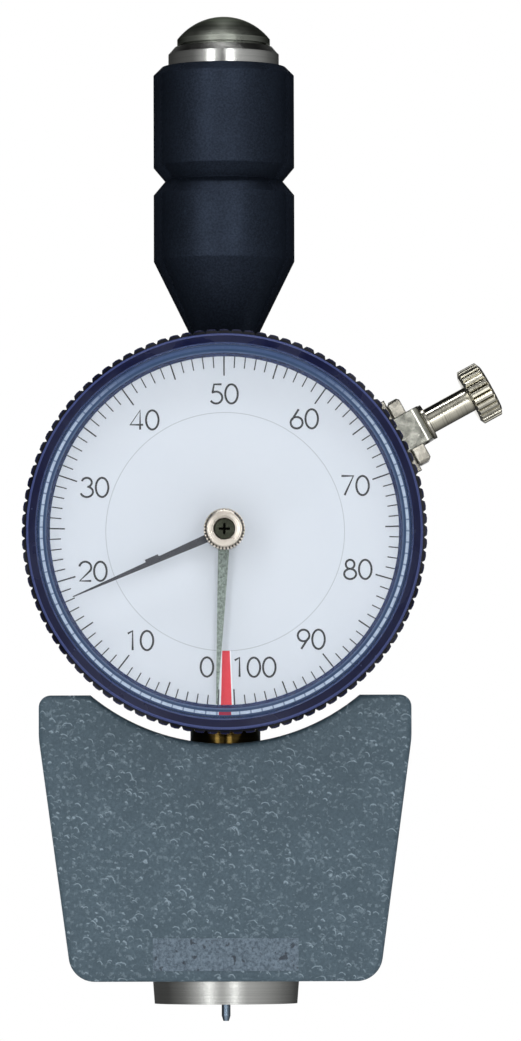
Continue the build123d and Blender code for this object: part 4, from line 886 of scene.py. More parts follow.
@dataclass(frozen=True)
class CrystalEdge(Finish):
    """The crystal's bevelled edge, with painted refraction and painted highlights: slate bands, a bright ring
    that is darker towards the top, dark breaks at the divisions and red at the zone.
    """

    name: str = "crystal_edge"
    # Colours of painted refraction (slate bands, dark breaks at the divisions, red at the zone) and of a
    # painted highlight (the bright ring, with painted shade towards the top).
    ground: Colour = srgb(52, 68, 98)
    outer_slate: Colour = srgb(84, 100, 128)
    inner_slate: Colour = srgb(50, 70, 100)
    bright: Colour = srgb(174, 190, 212)
    shaded: Colour = srgb(68, 86, 122)
    line: Colour = srgb(70, 88, 122)
    zone: Colour = srgb(150, 40, 62)
    outer_ring: tuple[float, float] = (24.8, 25.13)
    inner_ring: tuple[float, float] = (25.2, 25.42)
    lit_ring: tuple[float, float] = (25.54, 25.86)
    ring_soft: float = 0.06
    lit_soft: float = 0.1
    lit_heights: tuple[float, float] = (-23.5, -12.0)
    zone_degrees: tuple[float, float] = (1.8, 2.1)
    first_degrees: float = 2.5
    step_degrees: float = 3.545
    grain_depth: float = 0.00001
    grain_scale: float = 2200.0
    smudge_scale: float = 120.0

    def material(self) -> bpy.types.Material:
        """Builds the material.

        Returns:
            The material.
        """
        made, graph, shader, coords = self.start(self.name)
        place = graph.polar(coords, TURNING_LINES[Turning.DIAL])
        grain = group_node(graph, EFFECTS.grain, Vector=coords, Scale=self.grain_scale)
        gloss = group_node(graph, EFFECTS.smudges, Vector=coords, Scale=self.smudge_scale,
                           Low=0.12, High=0.25)
        degrees = graph.math("DEGREES", place.angle)
        step = graph.math("DIVIDE", graph.math("SUBTRACT", degrees, self.first_degrees), self.step_degrees)
        mark = graph.ramp(graph.off_middle(step, 0.5), 0.04, 0.09, 1.0, 0.0)
        high = graph.add("SeparateXYZ", {0: place.turned}).outputs[1]
        low_end, high_end = (height * MM for height in self.lit_heights)
        # Painted highlight: the bright ring, with painted shade towards the top.
        lit = graph.mix(graph.ramp(high, low_end, high_end, 1.0, 0.0), self.bright, self.shaded)
        # Painted refraction of the divisions and of the red zone.
        lit = graph.mix(graph.math("MULTIPLY", mark, 0.7), lit, self.line)
        near_zero = graph.ramp(graph.math("ABSOLUTE", degrees), *self.zone_degrees, 1.0, 0.0)
        lit = graph.mix(near_zero, lit, self.zone)
        # Painted refraction: the slate bands.
        tint = Shade(self.outer_slate, self.outer_ring, soft=self.ring_soft).lay(graph, self.ground, place)
        tint = Shade(self.inner_slate, self.inner_ring, soft=self.ring_soft).lay(graph, tint, place)
        inner, outer = (radius * MM for radius in self.lit_ring)
        band = graph.within(place.radius, inner, outer, self.lit_soft * MM)
        tint = graph.mix(band, tint, lit)
        tint = graph.mix(graph.math("MULTIPLY", grain.outputs[1], 0.25), tint, self.ground)
        bump = graph.relief(grain.outputs[0], 0.1, self.grain_depth)
        set_inputs(graph, shader, {"Base Color": tint, "Roughness": gloss.outputs[0],
                                   "Specular IOR Level": 0.3, "Normal": bump})
        pass_light(graph, shader)
        return made


@dataclass(frozen=True)
class PrintedSurface(Finish):
    """Satin print or lacquer: the dial's ground, its figures and the pointers."""

    name: str
    colour: Colour
    shade: Colour
    rough: float = 0.45
    grain: float = 3000.0
    share: float = 0.5
    metal: float = 0.0
    depth: float = 0.1
    grain_depth: float = 0.00001
    cloud_scale: float = 55.0

    def material(self) -> bpy.types.Material:
        """Builds the material.

        Returns:
            The material.
        """
        made, graph, shader, coords = self.start(self.name)
        grain = group_node(graph, EFFECTS.grain, Vector=coords, Scale=self.grain)
        cloud = group_node(graph, EFFECTS.smudges, Vector=coords, Scale=self.cloud_scale,
                           Low=self.rough * 0.9, High=self.rough * 1.15)
        tint = graph.mix(graph.math("MULTIPLY", grain.outputs[1], self.share), self.colour, self.shade)
        tint = graph.mix(graph.math("MULTIPLY", cloud.outputs[1], 0.2), tint, self.shade)
        bump = graph.relief(grain.outputs[0], self.depth, self.grain_depth)
        set_inputs(graph, shader, {"Base Color": tint, "Roughness": cloud.outputs[0],
                                   "Metallic": self.metal, "Normal": bump})
        return made


@dataclass(frozen=True)
class LabelFilm(Finish):
    """Clear film over the enamel: lighter, with dark trapped specks."""

    name: str = "label_film"
    colour: Colour = srgb(66, 80, 92)
    light: Colour = srgb(112, 128, 142)
    speck: Colour = srgb(34, 40, 50)
    film_depth: float = 0.00005
    grain_scale: float = 2600.0
    cell_scale: float = 760.0
    blot_scale: float = 900.0

    def material(self) -> bpy.types.Material:
        """Builds the material.

        Returns:
            The material.
        """
        made, graph, shader, coords = self.start(self.name)
        grain = group_node(graph, EFFECTS.grain, Vector=coords, Scale=self.grain_scale)
        hammer = group_node(graph, EFFECTS.hammer, Vector=coords, Scale=self.cell_scale)
        blots = graph.add("TexNoise", {"Vector": coords, "Scale": self.blot_scale, "Detail": 2.0})
        dark = graph.ramp(blots.outputs[0], 0.6, 0.68)
        tint = graph.mix(graph.math("MULTIPLY", grain.outputs[1], 0.75), self.colour, self.light)
        # Painted highlights from the enamel's crescent flecks.
        tint = graph.mix(graph.math("MULTIPLY", hammer.outputs[1], 0.3), tint, self.light)
        tint = graph.mix(graph.math("MULTIPLY", dark, 0.8), tint, self.speck)
        bump = graph.relief(hammer.outputs[0], 0.25, self.film_depth)
        set_inputs(graph, shader, {"Base Color": tint, "Roughness": 0.35, "Specular IOR Level": 0.3,
                                   "Normal": bump})
        return made


# ------------------------------------------------------------------- mesh helpers
def finished_piece(name: str, mesh: bmesh.types.BMesh, body: str, slot: str, smooth: float = 30.0
                   ) -> bpy.types.Object:
    """Turns a bmesh into a piece that rides on a body.

    Args:
        name: The piece's name.
        mesh: The finished bmesh, in the row frame; it is freed.
        body: The CAD body that carries the piece.
        slot: The record's material slot; not used.
        smooth: Edges sharper than this many degrees stay sharp.

    Returns:
        The piece.
    """
    bmesh.ops.recalc_face_normals(mesh, faces=mesh.faces[:])
    data = bpy.data.meshes.new(name)
    for face in mesh.faces:
        face.smooth = True
    for edge in mesh.edges:
        edge.smooth = edge.is_manifold and edge.calc_face_angle(0.0) < math.radians(smooth)
    mesh.to_mesh(data)
    mesh.free()
    piece = bpy.data.objects.new(name, data)
    bpy.context.scene.collection.objects.link(piece)
    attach(piece, body)
    return piece


def spun_ring(name: str, outline: list[Vector], centre: Vector, steps: int, slot: str) -> bpy.types.Object:
    """Spins a closed outline about a line from front to back, on the bezel's body.

    Args:
        name: The piece's name.
        outline: Corners as offsets from the centre, in metres.
        centre: A point on the line.
        steps: Steps of the full turn.
        slot: The record's material slot.

    Returns:
        The ring.
    """
    mesh = bmesh.new()
    verts = [mesh.verts.new(centre + corner) for corner in outline]
    edges = [mesh.edges.new((verts[i - 1], verts[i])) for i in range(1, len(verts))]
    edges.append(mesh.edges.new((verts[-1], verts[0])))
    bmesh.ops.spin(mesh, geom=verts + edges, cent=centre, axis=(0, 1, 0), angle=2 * math.pi,
                   steps=steps, use_merge=True)
    return finished_piece(name, mesh, "bezel_set", slot)


def on_dial(radius: float, degrees: float) -> Vector:
    """A place on the dial's plane.

    Args:
        radius: Distance from the dial's centre, in metres.
        degrees: Angle from straight down, clockwise as seen from the front.

    Returns:
        The offset from the dial's centre, with no depth.
    """
    angle = math.radians(degrees)
    return Vector((-radius * math.sin(angle), 0.0, -radius * math.cos(angle)))


# ------------------------------------------------------------------ sub-assemblies
@dataclass
class DialPrint:
    """The dial's divisions, figures, fine circle and red zone, in millimetres."""

    sweep: float = 354.5
    ink: float = 0.02
    outer: float = 25.0
    tens_inner: float = 22.0
    fives_inner: float = 22.55
    units_inner: float = 23.12
    ends_inner: float = 22.22
    tens_width: float = 0.2
    units_width: float = 0.16
    figure_height: float = 3.05
    figure_radius: float = 19.42
    figure_stroke: float = 0.34
    zero_figure_radius: float = 19.24
    hundred_figure_radius: float = 19.56
    circle_radius: float = 16.8
    circle_width: float = 0.085
    circle_steps: int = 160
    zone_half: float = 1.8
    zone_border: float = 0.5
    border_lift: float = 1.2
    band_lift: float = 1.6
    zero_figure_angle: float = 7.8
    hundred_figure_angle: float = 12.3
    print_turn: float = -0.25
    print_shift: float = 0.08
    ink_dark: Colour = srgb(6, 10, 20)

    def __post_init__(self) -> None:
        """Reads the dial's face from the frame."""
        self.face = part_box("dial_plate")[0].y
        self.centre = Vector((DIAL_CENTRE.x + self.print_shift * MM, 0.0, DIAL_CENTRE.z))

    def angle(self, reading: float) -> float:
        """Angle of a reading from straight down, clockwise, in degrees."""
        return (360 - self.sweep) / 2 + reading * self.sweep / 100 + self.print_turn

    def _plate(self, mesh: bmesh.types.BMesh, corners: list[Vector], lift: float) -> None:
        """Adds a thin printed patch.

        Args:
            mesh: The bmesh to add to.
            corners: Its corners as offsets from the dial's centre.
            lift: How far its front stands off the dial, in metres.
        """
        verts = [mesh.verts.new(self.centre + c + Vector((0, self.face, 0))) for c in corners]
        face = mesh.faces.new(verts)
        raised = bmesh.ops.extrude_face_region(mesh, geom=[face])["geom"]
        moved = [v for v in raised if isinstance(v, bmesh.types.BMVert)]
        bmesh.ops.translate(mesh, verts=moved, vec=(0, -lift, 0))

    def divisions(self) -> bpy.types.Object:
        """Builds the hundred and one division lines.

        Returns:
            The piece.
        """
        mesh = bmesh.new()
        for reading in range(101):
            ends, tens, fives = reading in (0, 100), reading % 10 == 0, reading % 5 == 0
            inner = self.ends_inner if ends else self.tens_inner if tens else (
                self.fives_inner if fives else self.units_inner)
            width = self.tens_width if fives else self.units_width
            half = math.degrees(width / 2 / self.outer)
            angle = self.angle(reading)
            narrow = half * self.outer / inner
            corners = [on_dial(inner * MM, angle - narrow), on_dial(inner * MM, angle + narrow),
                       on_dial(self.outer * MM, angle + half), on_dial(self.outer * MM, angle - half)]
            self._plate(mesh, corners, self.ink * MM)
        return finished_piece("dial_divisions", mesh, "bezel_set", "pointer_dark")

    def circle(self) -> bpy.types.Object:
        """Builds the fine grey circle.

        Returns:
            The piece.
        """
        half = self.circle_width / 2
        inner, outer = self.circle_radius - half, self.circle_radius + half
        corners = [(inner, 0.0), (outer, 0.0), (outer, -self.ink / 2), (inner, -self.ink / 2)]
        outline = [Vector((radius * MM, self.face + depth * MM, 0.0)) for radius, depth in corners]
        return spun_ring("dial_circle", outline, self.centre, self.circle_steps, "pointer_grey")

    def zone(self, name: str, half: float, lift: float, slot: str) -> bpy.types.Object:
        """Builds a wedge between the last and the first division.

        Args:
            name: The piece's name.
            half: Half its angle, in degrees.
            lift: How far it stands off the dial, in millimetres.
            slot: The record's material slot.

        Returns:
            The wedge.
        """
        mesh = bmesh.new()
        low, high = self.print_turn - half, self.print_turn + half
        corners = [on_dial(self.circle_radius * MM, low), on_dial(self.circle_radius * MM, high),
                   on_dial(self.outer * MM, high), on_dial(self.outer * MM, low)]
        self._plate(mesh, corners, lift * MM)
        return finished_piece(name, mesh, "bezel_set", slot)

    def figures(self) -> bpy.types.Object:
        """Builds the numbers from 0 to 100 in steps of ten.

        Returns:
            The piece.
        """
        numbers = FigureMaker(self.figure_height, self.figure_stroke)
        for reading in range(0, 101, 10):
            angle, radius = self.angle(reading), self.figure_radius
            if reading == 0:
                angle, radius = self.zero_figure_angle, self.zero_figure_radius
            if reading == 100:
                angle, radius = 360 - self.hundred_figure_angle, self.hundred_figure_radius
            numbers.write(str(reading), on_dial(radius * MM, angle))
        return numbers.piece("dial_figures", self.centre + Vector((0, self.face, 0)), self.ink)

    def build(self) -> None:
        """Builds and dresses the whole print."""
        ink = PrintedSurface("dial_ink", self.ink_dark, srgb(16, 22, 34), rough=0.5)
        ink.dress(self.divisions(), self.figures())
        faint = PrintedSurface("dial_circle_ink", srgb(168, 174, 178), srgb(178, 184, 190), rough=0.5)
        faint.dress(self.circle())
        white = PrintedSurface("dial_zone_white", srgb(246, 248, 250), srgb(238, 242, 246), rough=0.5)
        white.dress(self.zone("dial_zone_border", self.zone_half + self.zone_border,
                              self.ink * self.border_lift, "dial_white"))
        red = PrintedSurface("dial_zone_red", srgb(238, 36, 58), srgb(226, 30, 50), rough=0.5)
        red.dress(self.zone("dial_zone_band", self.zone_half, self.ink * self.band_lift, "dial_white"))
        LOG.info("dial print: divisions, figures, circle and zone")


@dataclass
class CrystalSkin:
    """The thin banded skin on the crystal's bevel, which carries painted refraction and painted highlights:
    radii and depths of its outline, in millimetres.
    """

    outside: tuple[tuple[float, float], ...] = ((24.97, -18.01), (26.1, -17.51), (26.36, -16.6))
    inside: tuple[tuple[float, float], ...] = ((26.33, -16.6), (26.06, -17.47), (24.97, -17.97))
    steps: int = 180

    def build(self) -> None:
        """Builds and dresses the skin."""
        centre = Vector((DIAL_CENTRE.x, 0.0, DIAL_CENTRE.z))
        outline = [Vector((radius * MM, depth * MM, 0.0)) for radius, depth in self.outside + self.inside]
        skin = spun_ring("crystal_edge_skin", outline, centre, self.steps, "clear_crystal")
        skin.visible_shadow = False
        CrystalEdge().dress(skin)
        LOG.info("crystal skin: bands on the bevel")


class FigureMaker:
    """Writes figures with one even stroke, round bowls and straight stems."""

    GAP = 0.15
    AFTER_ONE = 0.42
    WIDTHS = {"0": 0.65, "1": 0.25, "2": 0.62, "3": 0.64, "4": 0.67, "5": 0.61, "6": 0.62, "7": 0.62,
              "8": 0.62, "9": 0.6}

    def __init__(self, height: float, stroke: float) -> None:
        """Starts an empty text.

        Args:
            height: Height of a figure, in millimetres.
            stroke: Width of its stroke, in millimetres.
        """
        self.height = height
        self.stroke = stroke
        self.curve = bpy.data.curves.new("figures", "CURVE")
        self.curve.dimensions = "3D"
        self.curve.bevel_depth = stroke / 2 * MM
        self.curve.bevel_resolution = 1
        self.curve.use_fill_caps = True
        self.curve.resolution_u = 1

    @staticmethod
    def bowl(x: float, y: float, across: float, up: float, start: float, end: float
             ) -> list[tuple[float, float]]:
        """Points of an elliptical arc.

        Args:
            x: Centre across.
            y: Centre up.
            across: Half width.
            up: Half height.
            start: First angle in degrees, from the right and counter-clockwise.
            end: Last angle in degrees.

        Returns:
            The points in order.
        """
        steps = max(6, round(abs(end - start) / 12))
        angles = [math.radians(start + (end - start) * i / steps) for i in range(steps + 1)]
        return [(x + across * math.cos(a), y + up * math.sin(a)) for a in angles]

    def strokes(self, figure: str) -> list[list[tuple[float, float]]]:
        """Strokes of one figure in a box one unit high, from its lower left corner.

        Args:
            figure: The figure, from 0 to 9.

        Returns:
            Each stroke's points.
        """
        bowl, width = self.bowl, self.WIDTHS[figure]
        half = width / 2
        return {
            "0": [bowl(half, 0.5, half, 0.5, 0, 360)],
            "1": [[(0.0, 0.86), (width, 1.0), (width, 0.0)]],
            "2": [bowl(half, 0.7, half, 0.3, 170, -35) + [(0.02, 0.0), (width, 0.0)]],
            "3": [bowl(half, 0.76, 0.26, 0.24, 165, -80) + bowl(half, 0.27, half, 0.27, 80, -165)],
            "4": [[(width, 0.25), (0.0, 0.25), (0.51, 1.0), (0.51, 0.0)]],
            "5": [[(width - 0.04, 1.0), (0.18, 1.0), (0.1, 0.58)]
                  + bowl(half - 0.02, 0.31, 0.32, 0.31, 125, -150)],
            "6": [[(0.42, 1.0), (0.06, 0.44)], bowl(half, 0.3, half, 0.3, 0, 360)],
            "7": [[(0.0, 1.0), (width, 1.0), (0.16, 0.0)]],
            "8": [bowl(half, 0.765, 0.225, 0.235, 0, 360), bowl(half, 0.265, half, 0.265, 0, 360)],
            "9": [[(width - 0.42, 0.0), (width - 0.06, 0.56)], bowl(half, 0.7, half, 0.3, 0, 360)],
        }[figure]

    def write(self, text: str, middle: Vector) -> None:
        """Adds a number.

        Args:
            text: The number.
            middle: Its middle on the dial, in metres from the dial's centre.
        """
        gaps = [self.AFTER_ONE if c == "1" else self.GAP for c in text[:-1]]
        total = sum(self.WIDTHS[c] for c in text) + sum(gaps)
        left = -total / 2
        for i, figure in enumerate(text):
            for stroke in self.strokes(figure):
                closed = len(stroke) > 2 and math.dist(stroke[0], stroke[-1]) < 1e-6
                self._stroke(stroke[:-1] if closed else stroke, closed, left, middle)
            left += self.WIDTHS[figure] + (gaps[i] if i < len(gaps) else 0.0)

    def _stroke(self, points: list[tuple[float, float]], closed: bool, left: float, middle: Vector) -> None:
        """Adds one stroke to the curve.

        Args:
            points: Its points in the figure's box.
            closed: Whether it runs back to its start.
            left: The box's left side, in units of the figure's height.
            middle: The number's middle on the dial, in metres.
        """
        size = (self.height - self.stroke) * MM
        spline = self.curve.splines.new("POLY")
        spline.points.add(len(points) - 1)
        for point, (across, up) in zip(spline.points, points):
            place = middle + Vector(((left + across) * size, 0.0, (up - 0.5) * size))
            point.co = (*place, 1.0)
        spline.use_cyclic_u = closed

    def piece(self, name: str, place: Vector, ink: float) -> bpy.types.Object:
        """Finishes the figures as one thin printed mesh.

        Args:
            name: The piece's name.
            place: The dial's centre on its face.
            ink: Thickness of the print, in millimetres.

        Returns:
            The piece.
        """
        holder = bpy.data.objects.new(name, self.curve)
        bpy.context.scene.collection.objects.link(holder)
        shape = bpy.data.meshes.new_from_object(holder.evaluated_get(bpy.context.evaluated_depsgraph_get()))
        bpy.data.objects.remove(holder)
        flat = Matrix.Diagonal((1.0, 2 * ink / self.stroke, 1.0, 1.0))
        shape.transform(Matrix.Translation(place) @ flat)
        mesh = bmesh.new()
        mesh.from_mesh(shape)
        bpy.data.meshes.remove(shape)
        bmesh.ops.remove_doubles(mesh, verts=mesh.verts[:], dist=1e-7)
        return finished_piece(name, mesh, "bezel_set", "pointer_dark", smooth=60.0)


@dataclass
class SpringCoil:
    """The calibrated spring, as a merged copy of its CAD node."""

    node: str = "calibrated_spring"
    joint: str = "indenter_travel"
    travel: float = 2.5
    finish: Finish = PlainMetal("coil_steel", srgb(120, 124, 130), srgb(80, 84, 90), 0.3)

    def build(self) -> None:
        """Builds a merged copy of the spring on the housing and hides the CAD node."""
        low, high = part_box(self.node)
        coil = bmesh.new()
        coil.from_mesh(NODES[self.node].data)
        bmesh.ops.transform(coil, matrix=NODES[self.node].matrix_world, verts=coil.verts[:])
        bmesh.ops.remove_doubles(coil, verts=coil.verts[:], dist=1e-7)
        piece = finished_piece("spring_coil", coil, "housing", "spring_steel", smooth=60.0)
        self.finish.dress(piece)
        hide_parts(self.node)
        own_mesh(piece)
        LOG.info("spring coil: squashes with %s", self.joint)


@dataclass
class DressedNodes:
    """CAD nodes that share one finish."""

    finish: Finish
    nodes: tuple[str, ...]

    def dress(self) -> None:
        """Gives the finish to the nodes."""
        self.finish.dress(*(NODES[name] for name in self.nodes))
        LOG.info("%s on %s", self.finish.name, ", ".join(self.nodes))


STEEL, STEEL_DARK = srgb(204, 205, 202), srgb(166, 168, 166)
NICKEL, NICKEL_DARK = srgb(214, 210, 196), srgb(150, 146, 134)
BRASS, BRASS_DARK = srgb(176, 138, 66), srgb(104, 78, 34)
# Brass darkened to paint the shade that falls between the dial case and the block, on the stem and the parts
# round it.
SHADED_BRASS, SHADED_BRASS_DARK = srgb(86, 70, 34), srgb(24, 20, 12)

# Painted highlights on the bezel's outer and inner lips, and painted shade at the root of its knurl.
BEZEL_SHADES = (
    Shade(srgb(62, 72, 118), (27.6, 27.9)),
    Shade(srgb(60, 72, 110), (26.3, 26.56)),
    Shade(srgb(5, 7, 20), (27.98, 28.3)),
)
# Painted shade between the peak knob's teeth and on the wall of its counterbore.
KNOB_SHADES = (
    Shade(srgb(40, 36, 30), (2.58, 2.95), (-22.3, -18.3), teeth=36, soft=0.03),
    Shade(srgb(70, 62, 50), (1.0, 1.58), (-22.12, -20.9)),
)
# Painted shade in the peak screw's cross recess.
SCREW_SHADES = (Shade(srgb(10, 10, 8), (0.0, 0.86), (-21.74, -21.2)),)
# Painted shade at the roots of the thumbscrew's knurl.
HEAD_SHADES = (Shade(srgb(74, 70, 58), (2.0, 3.84), (39.9, 42.6)),)

CAD_FINISHES = (
    DressedNodes(HammertonePaint(), ("body_block",)),
    DressedNodes(SatinAnodise(), ("grip",)),
    DressedNodes(TurnedMetal("turned_steel", STEEL, STEEL_DARK, 0.2, marks=6000.0, depth=0.15),
                 ("presser_foot", "cap_collar", "indenter_holder", "spring_seat")),
    DressedNodes(TurnedMetal("dome_steel", srgb(144, 148, 140), srgb(100, 104, 96), 0.32,
                             marks=5200.0, depth=0.8, grazing=srgb(120, 124, 118)), ("dome_cap",)),
    DressedNodes(TurnedMetal("hardened_steel", srgb(128, 146, 164), srgb(92, 104, 118), 0.24),
                 ("indenter", "spindle", "guide_pin", "drive_arbor", "take_up_arbor")),
    DressedNodes(TurnedMetal("movement_steel", STEEL, STEEL_DARK, 0.25, Turning.DIAL),
                 ("rack_pinion", "centre_arbor", "centre_pinion", "pillar_screws", "front_plate_screws")),
    # The stem's brass carries painted shade.
    DressedNodes(TurnedMetal("stem_brass", SHADED_BRASS, SHADED_BRASS_DARK, 0.12, marks=1400.0),
                 ("stem", "stem_nut", "spring_adjuster", "top_bush")),
    DressedNodes(TurnedMetal("movement_brass", BRASS, BRASS_DARK, 0.28, Turning.DIAL),
                 ("front_plate", "rear_plate", "plate_pillars", "pivot_bushes", "drive_wheel",
                  "take_up_wheel", "hairspring_collet", "hairspring_stud", "pointer_hub", "peak_shaft")),
    DressedNodes(PlainMetal("spring_steel", srgb(120, 124, 130), srgb(80, 84, 90), 0.3),
                 ("calibrated_spring", "hairspring", "case_snap_ring", "dial_ring", "friction_washer",
                  "stem_grub_screw", "clamp_base_screws")),
    DressedNodes(GlossPlastic("case_enamel", srgb(42, 44, 48), srgb(92, 94, 98), 0.34),
                 ("case", "back_cover")),
    DressedNodes(TurnedMetal("screw_nickel", NICKEL, NICKEL_DARK, 0.25, Turning.DIAL),
                 ("back_cover_screws",)),
    DressedNodes(GlossPlastic("gasket_rubber", srgb(24, 24, 26), srgb(50, 50, 54), 0.6, 0.0),
                 ("cover_gasket",)),
    DressedNodes(GlossPlastic("navy_plastic", srgb(9, 14, 48), srgb(90, 100, 140), 0.2, 0.3, BEZEL_SHADES),
                 ("bezel",)),
    DressedNodes(ClearCrystal(), ("crystal",)),
    DressedNodes(PrintedSurface("dial_white", srgb(217, 221, 227), srgb(207, 213, 221), share=0.4),
                 ("dial_plate",)),
    DressedNodes(PrintedSurface("pointer_grey", srgb(62, 74, 68), srgb(156, 170, 158), 0.35,
                                grain=2600.0, share=0.85, depth=0.4), ("main_pointer",)),
    DressedNodes(PrintedSurface("pointer_dark", srgb(16, 20, 32), srgb(38, 42, 58), 0.35,
                                grain=3600.0, depth=0.3), ("peak_pointer",)),
    DressedNodes(TurnedMetal("knob_nickel", srgb(212, 205, 195), srgb(150, 142, 130), 0.24, Turning.DIAL,
                             6500.0, 1.0, shades=KNOB_SHADES), ("peak_knob",)),
    DressedNodes(TurnedMetal("knob_screw_steel", srgb(82, 86, 74), srgb(44, 46, 38), 0.25, Turning.DIAL,
                             shades=SCREW_SHADES), ("peak_screw",)),
    # The clamp parts carry a painted shade along their edges.
    DressedNodes(PlainMetal("nickel_plate", srgb(226, 222, 210), NICKEL_DARK, 0.22, tarnish=0.9),
                 ("clamp_base", "clamp_bar", "clamp_washer")),
    DressedNodes(PlainMetal("strap_nickel", srgb(204, 204, 194), srgb(140, 142, 134), 0.2,
                            tarnish=0.9, mottle=0.6), ("clamp_strap",)),
    DressedNodes(TurnedMetal("nickel_turned", srgb(226, 222, 206), NICKEL_DARK, 0.16, Turning.CLAMP,
                             shades=HEAD_SHADES), ("thumbscrew",)),
    DressedNodes(LabelFilm(), ("label_strip",)),
)


# -------------------------------------------------------------------- the studio
@dataclass(frozen=True)
class Lamp:
    """A soft rectangular lamp that faces the object."""

    name: str
    place: tuple[float, float, float]
    size: tuple[float, float]
    power: float
    in_gloss: bool = True
    on_floor: bool = False


    def direction(self) -> float:
        """Direction of the lamp from the front in degrees, with the right side positive."""
        return math.degrees(math.atan2(self.place[0], -self.place[1]))


@dataclass(frozen=True)
class RoomTones:
    """Greys round the object, by direction in degrees from the front with the right side positive.

    The front has one tone. Each side fades into a dim tone and then into the dark back, at the
    three directions given. A lamp may glow in its own direction, with a halo round its core, and
    a dark gap may stand straight in front.
    """

    front: float
    left_fade: tuple[float, float, float]
    right_fade: tuple[float, float, float]
    dim: float = 0.14
    dark: float = 0.05
    glow: float = 1.0
    halo: float = 0.65
    core_reach: float = 6.0
    halo_reach: float = 20.0
    gap: float = 0.0
    gap_soft: float = 3.0

    def stops(self, lamps: list[float]) -> tuple[tuple[float, Colour], ...]:
        """Works out the tones' places.

        Args:
            lamps: Directions of the lamps that glow.

        Returns:
            Rising places from 0 at the back, over 0.5 in front, to 1 at the back, with their greys.
        """
        tones = [(-180.0, self.dark), (180.0, self.dark)]
        for fade in (self.left_fade, self.right_fade):
            tones += zip(fade, (self.front, self.dim, self.dark))
        for lamp in lamps:
            tones.append((lamp, self.glow))
            for side in (-1, 1):
                tones += [(lamp + side * self.core_reach, self.halo),
                          (lamp + side * self.halo_reach, self.front)]
        if self.gap:
            for side in (-1, 1):
                tones += [(side * self.gap, self.dark), (side * (self.gap + self.gap_soft), self.front)]
        return tuple(((direction + 180) / 360, (tone, tone, tone, 1.0)) for direction, tone in sorted(tones))


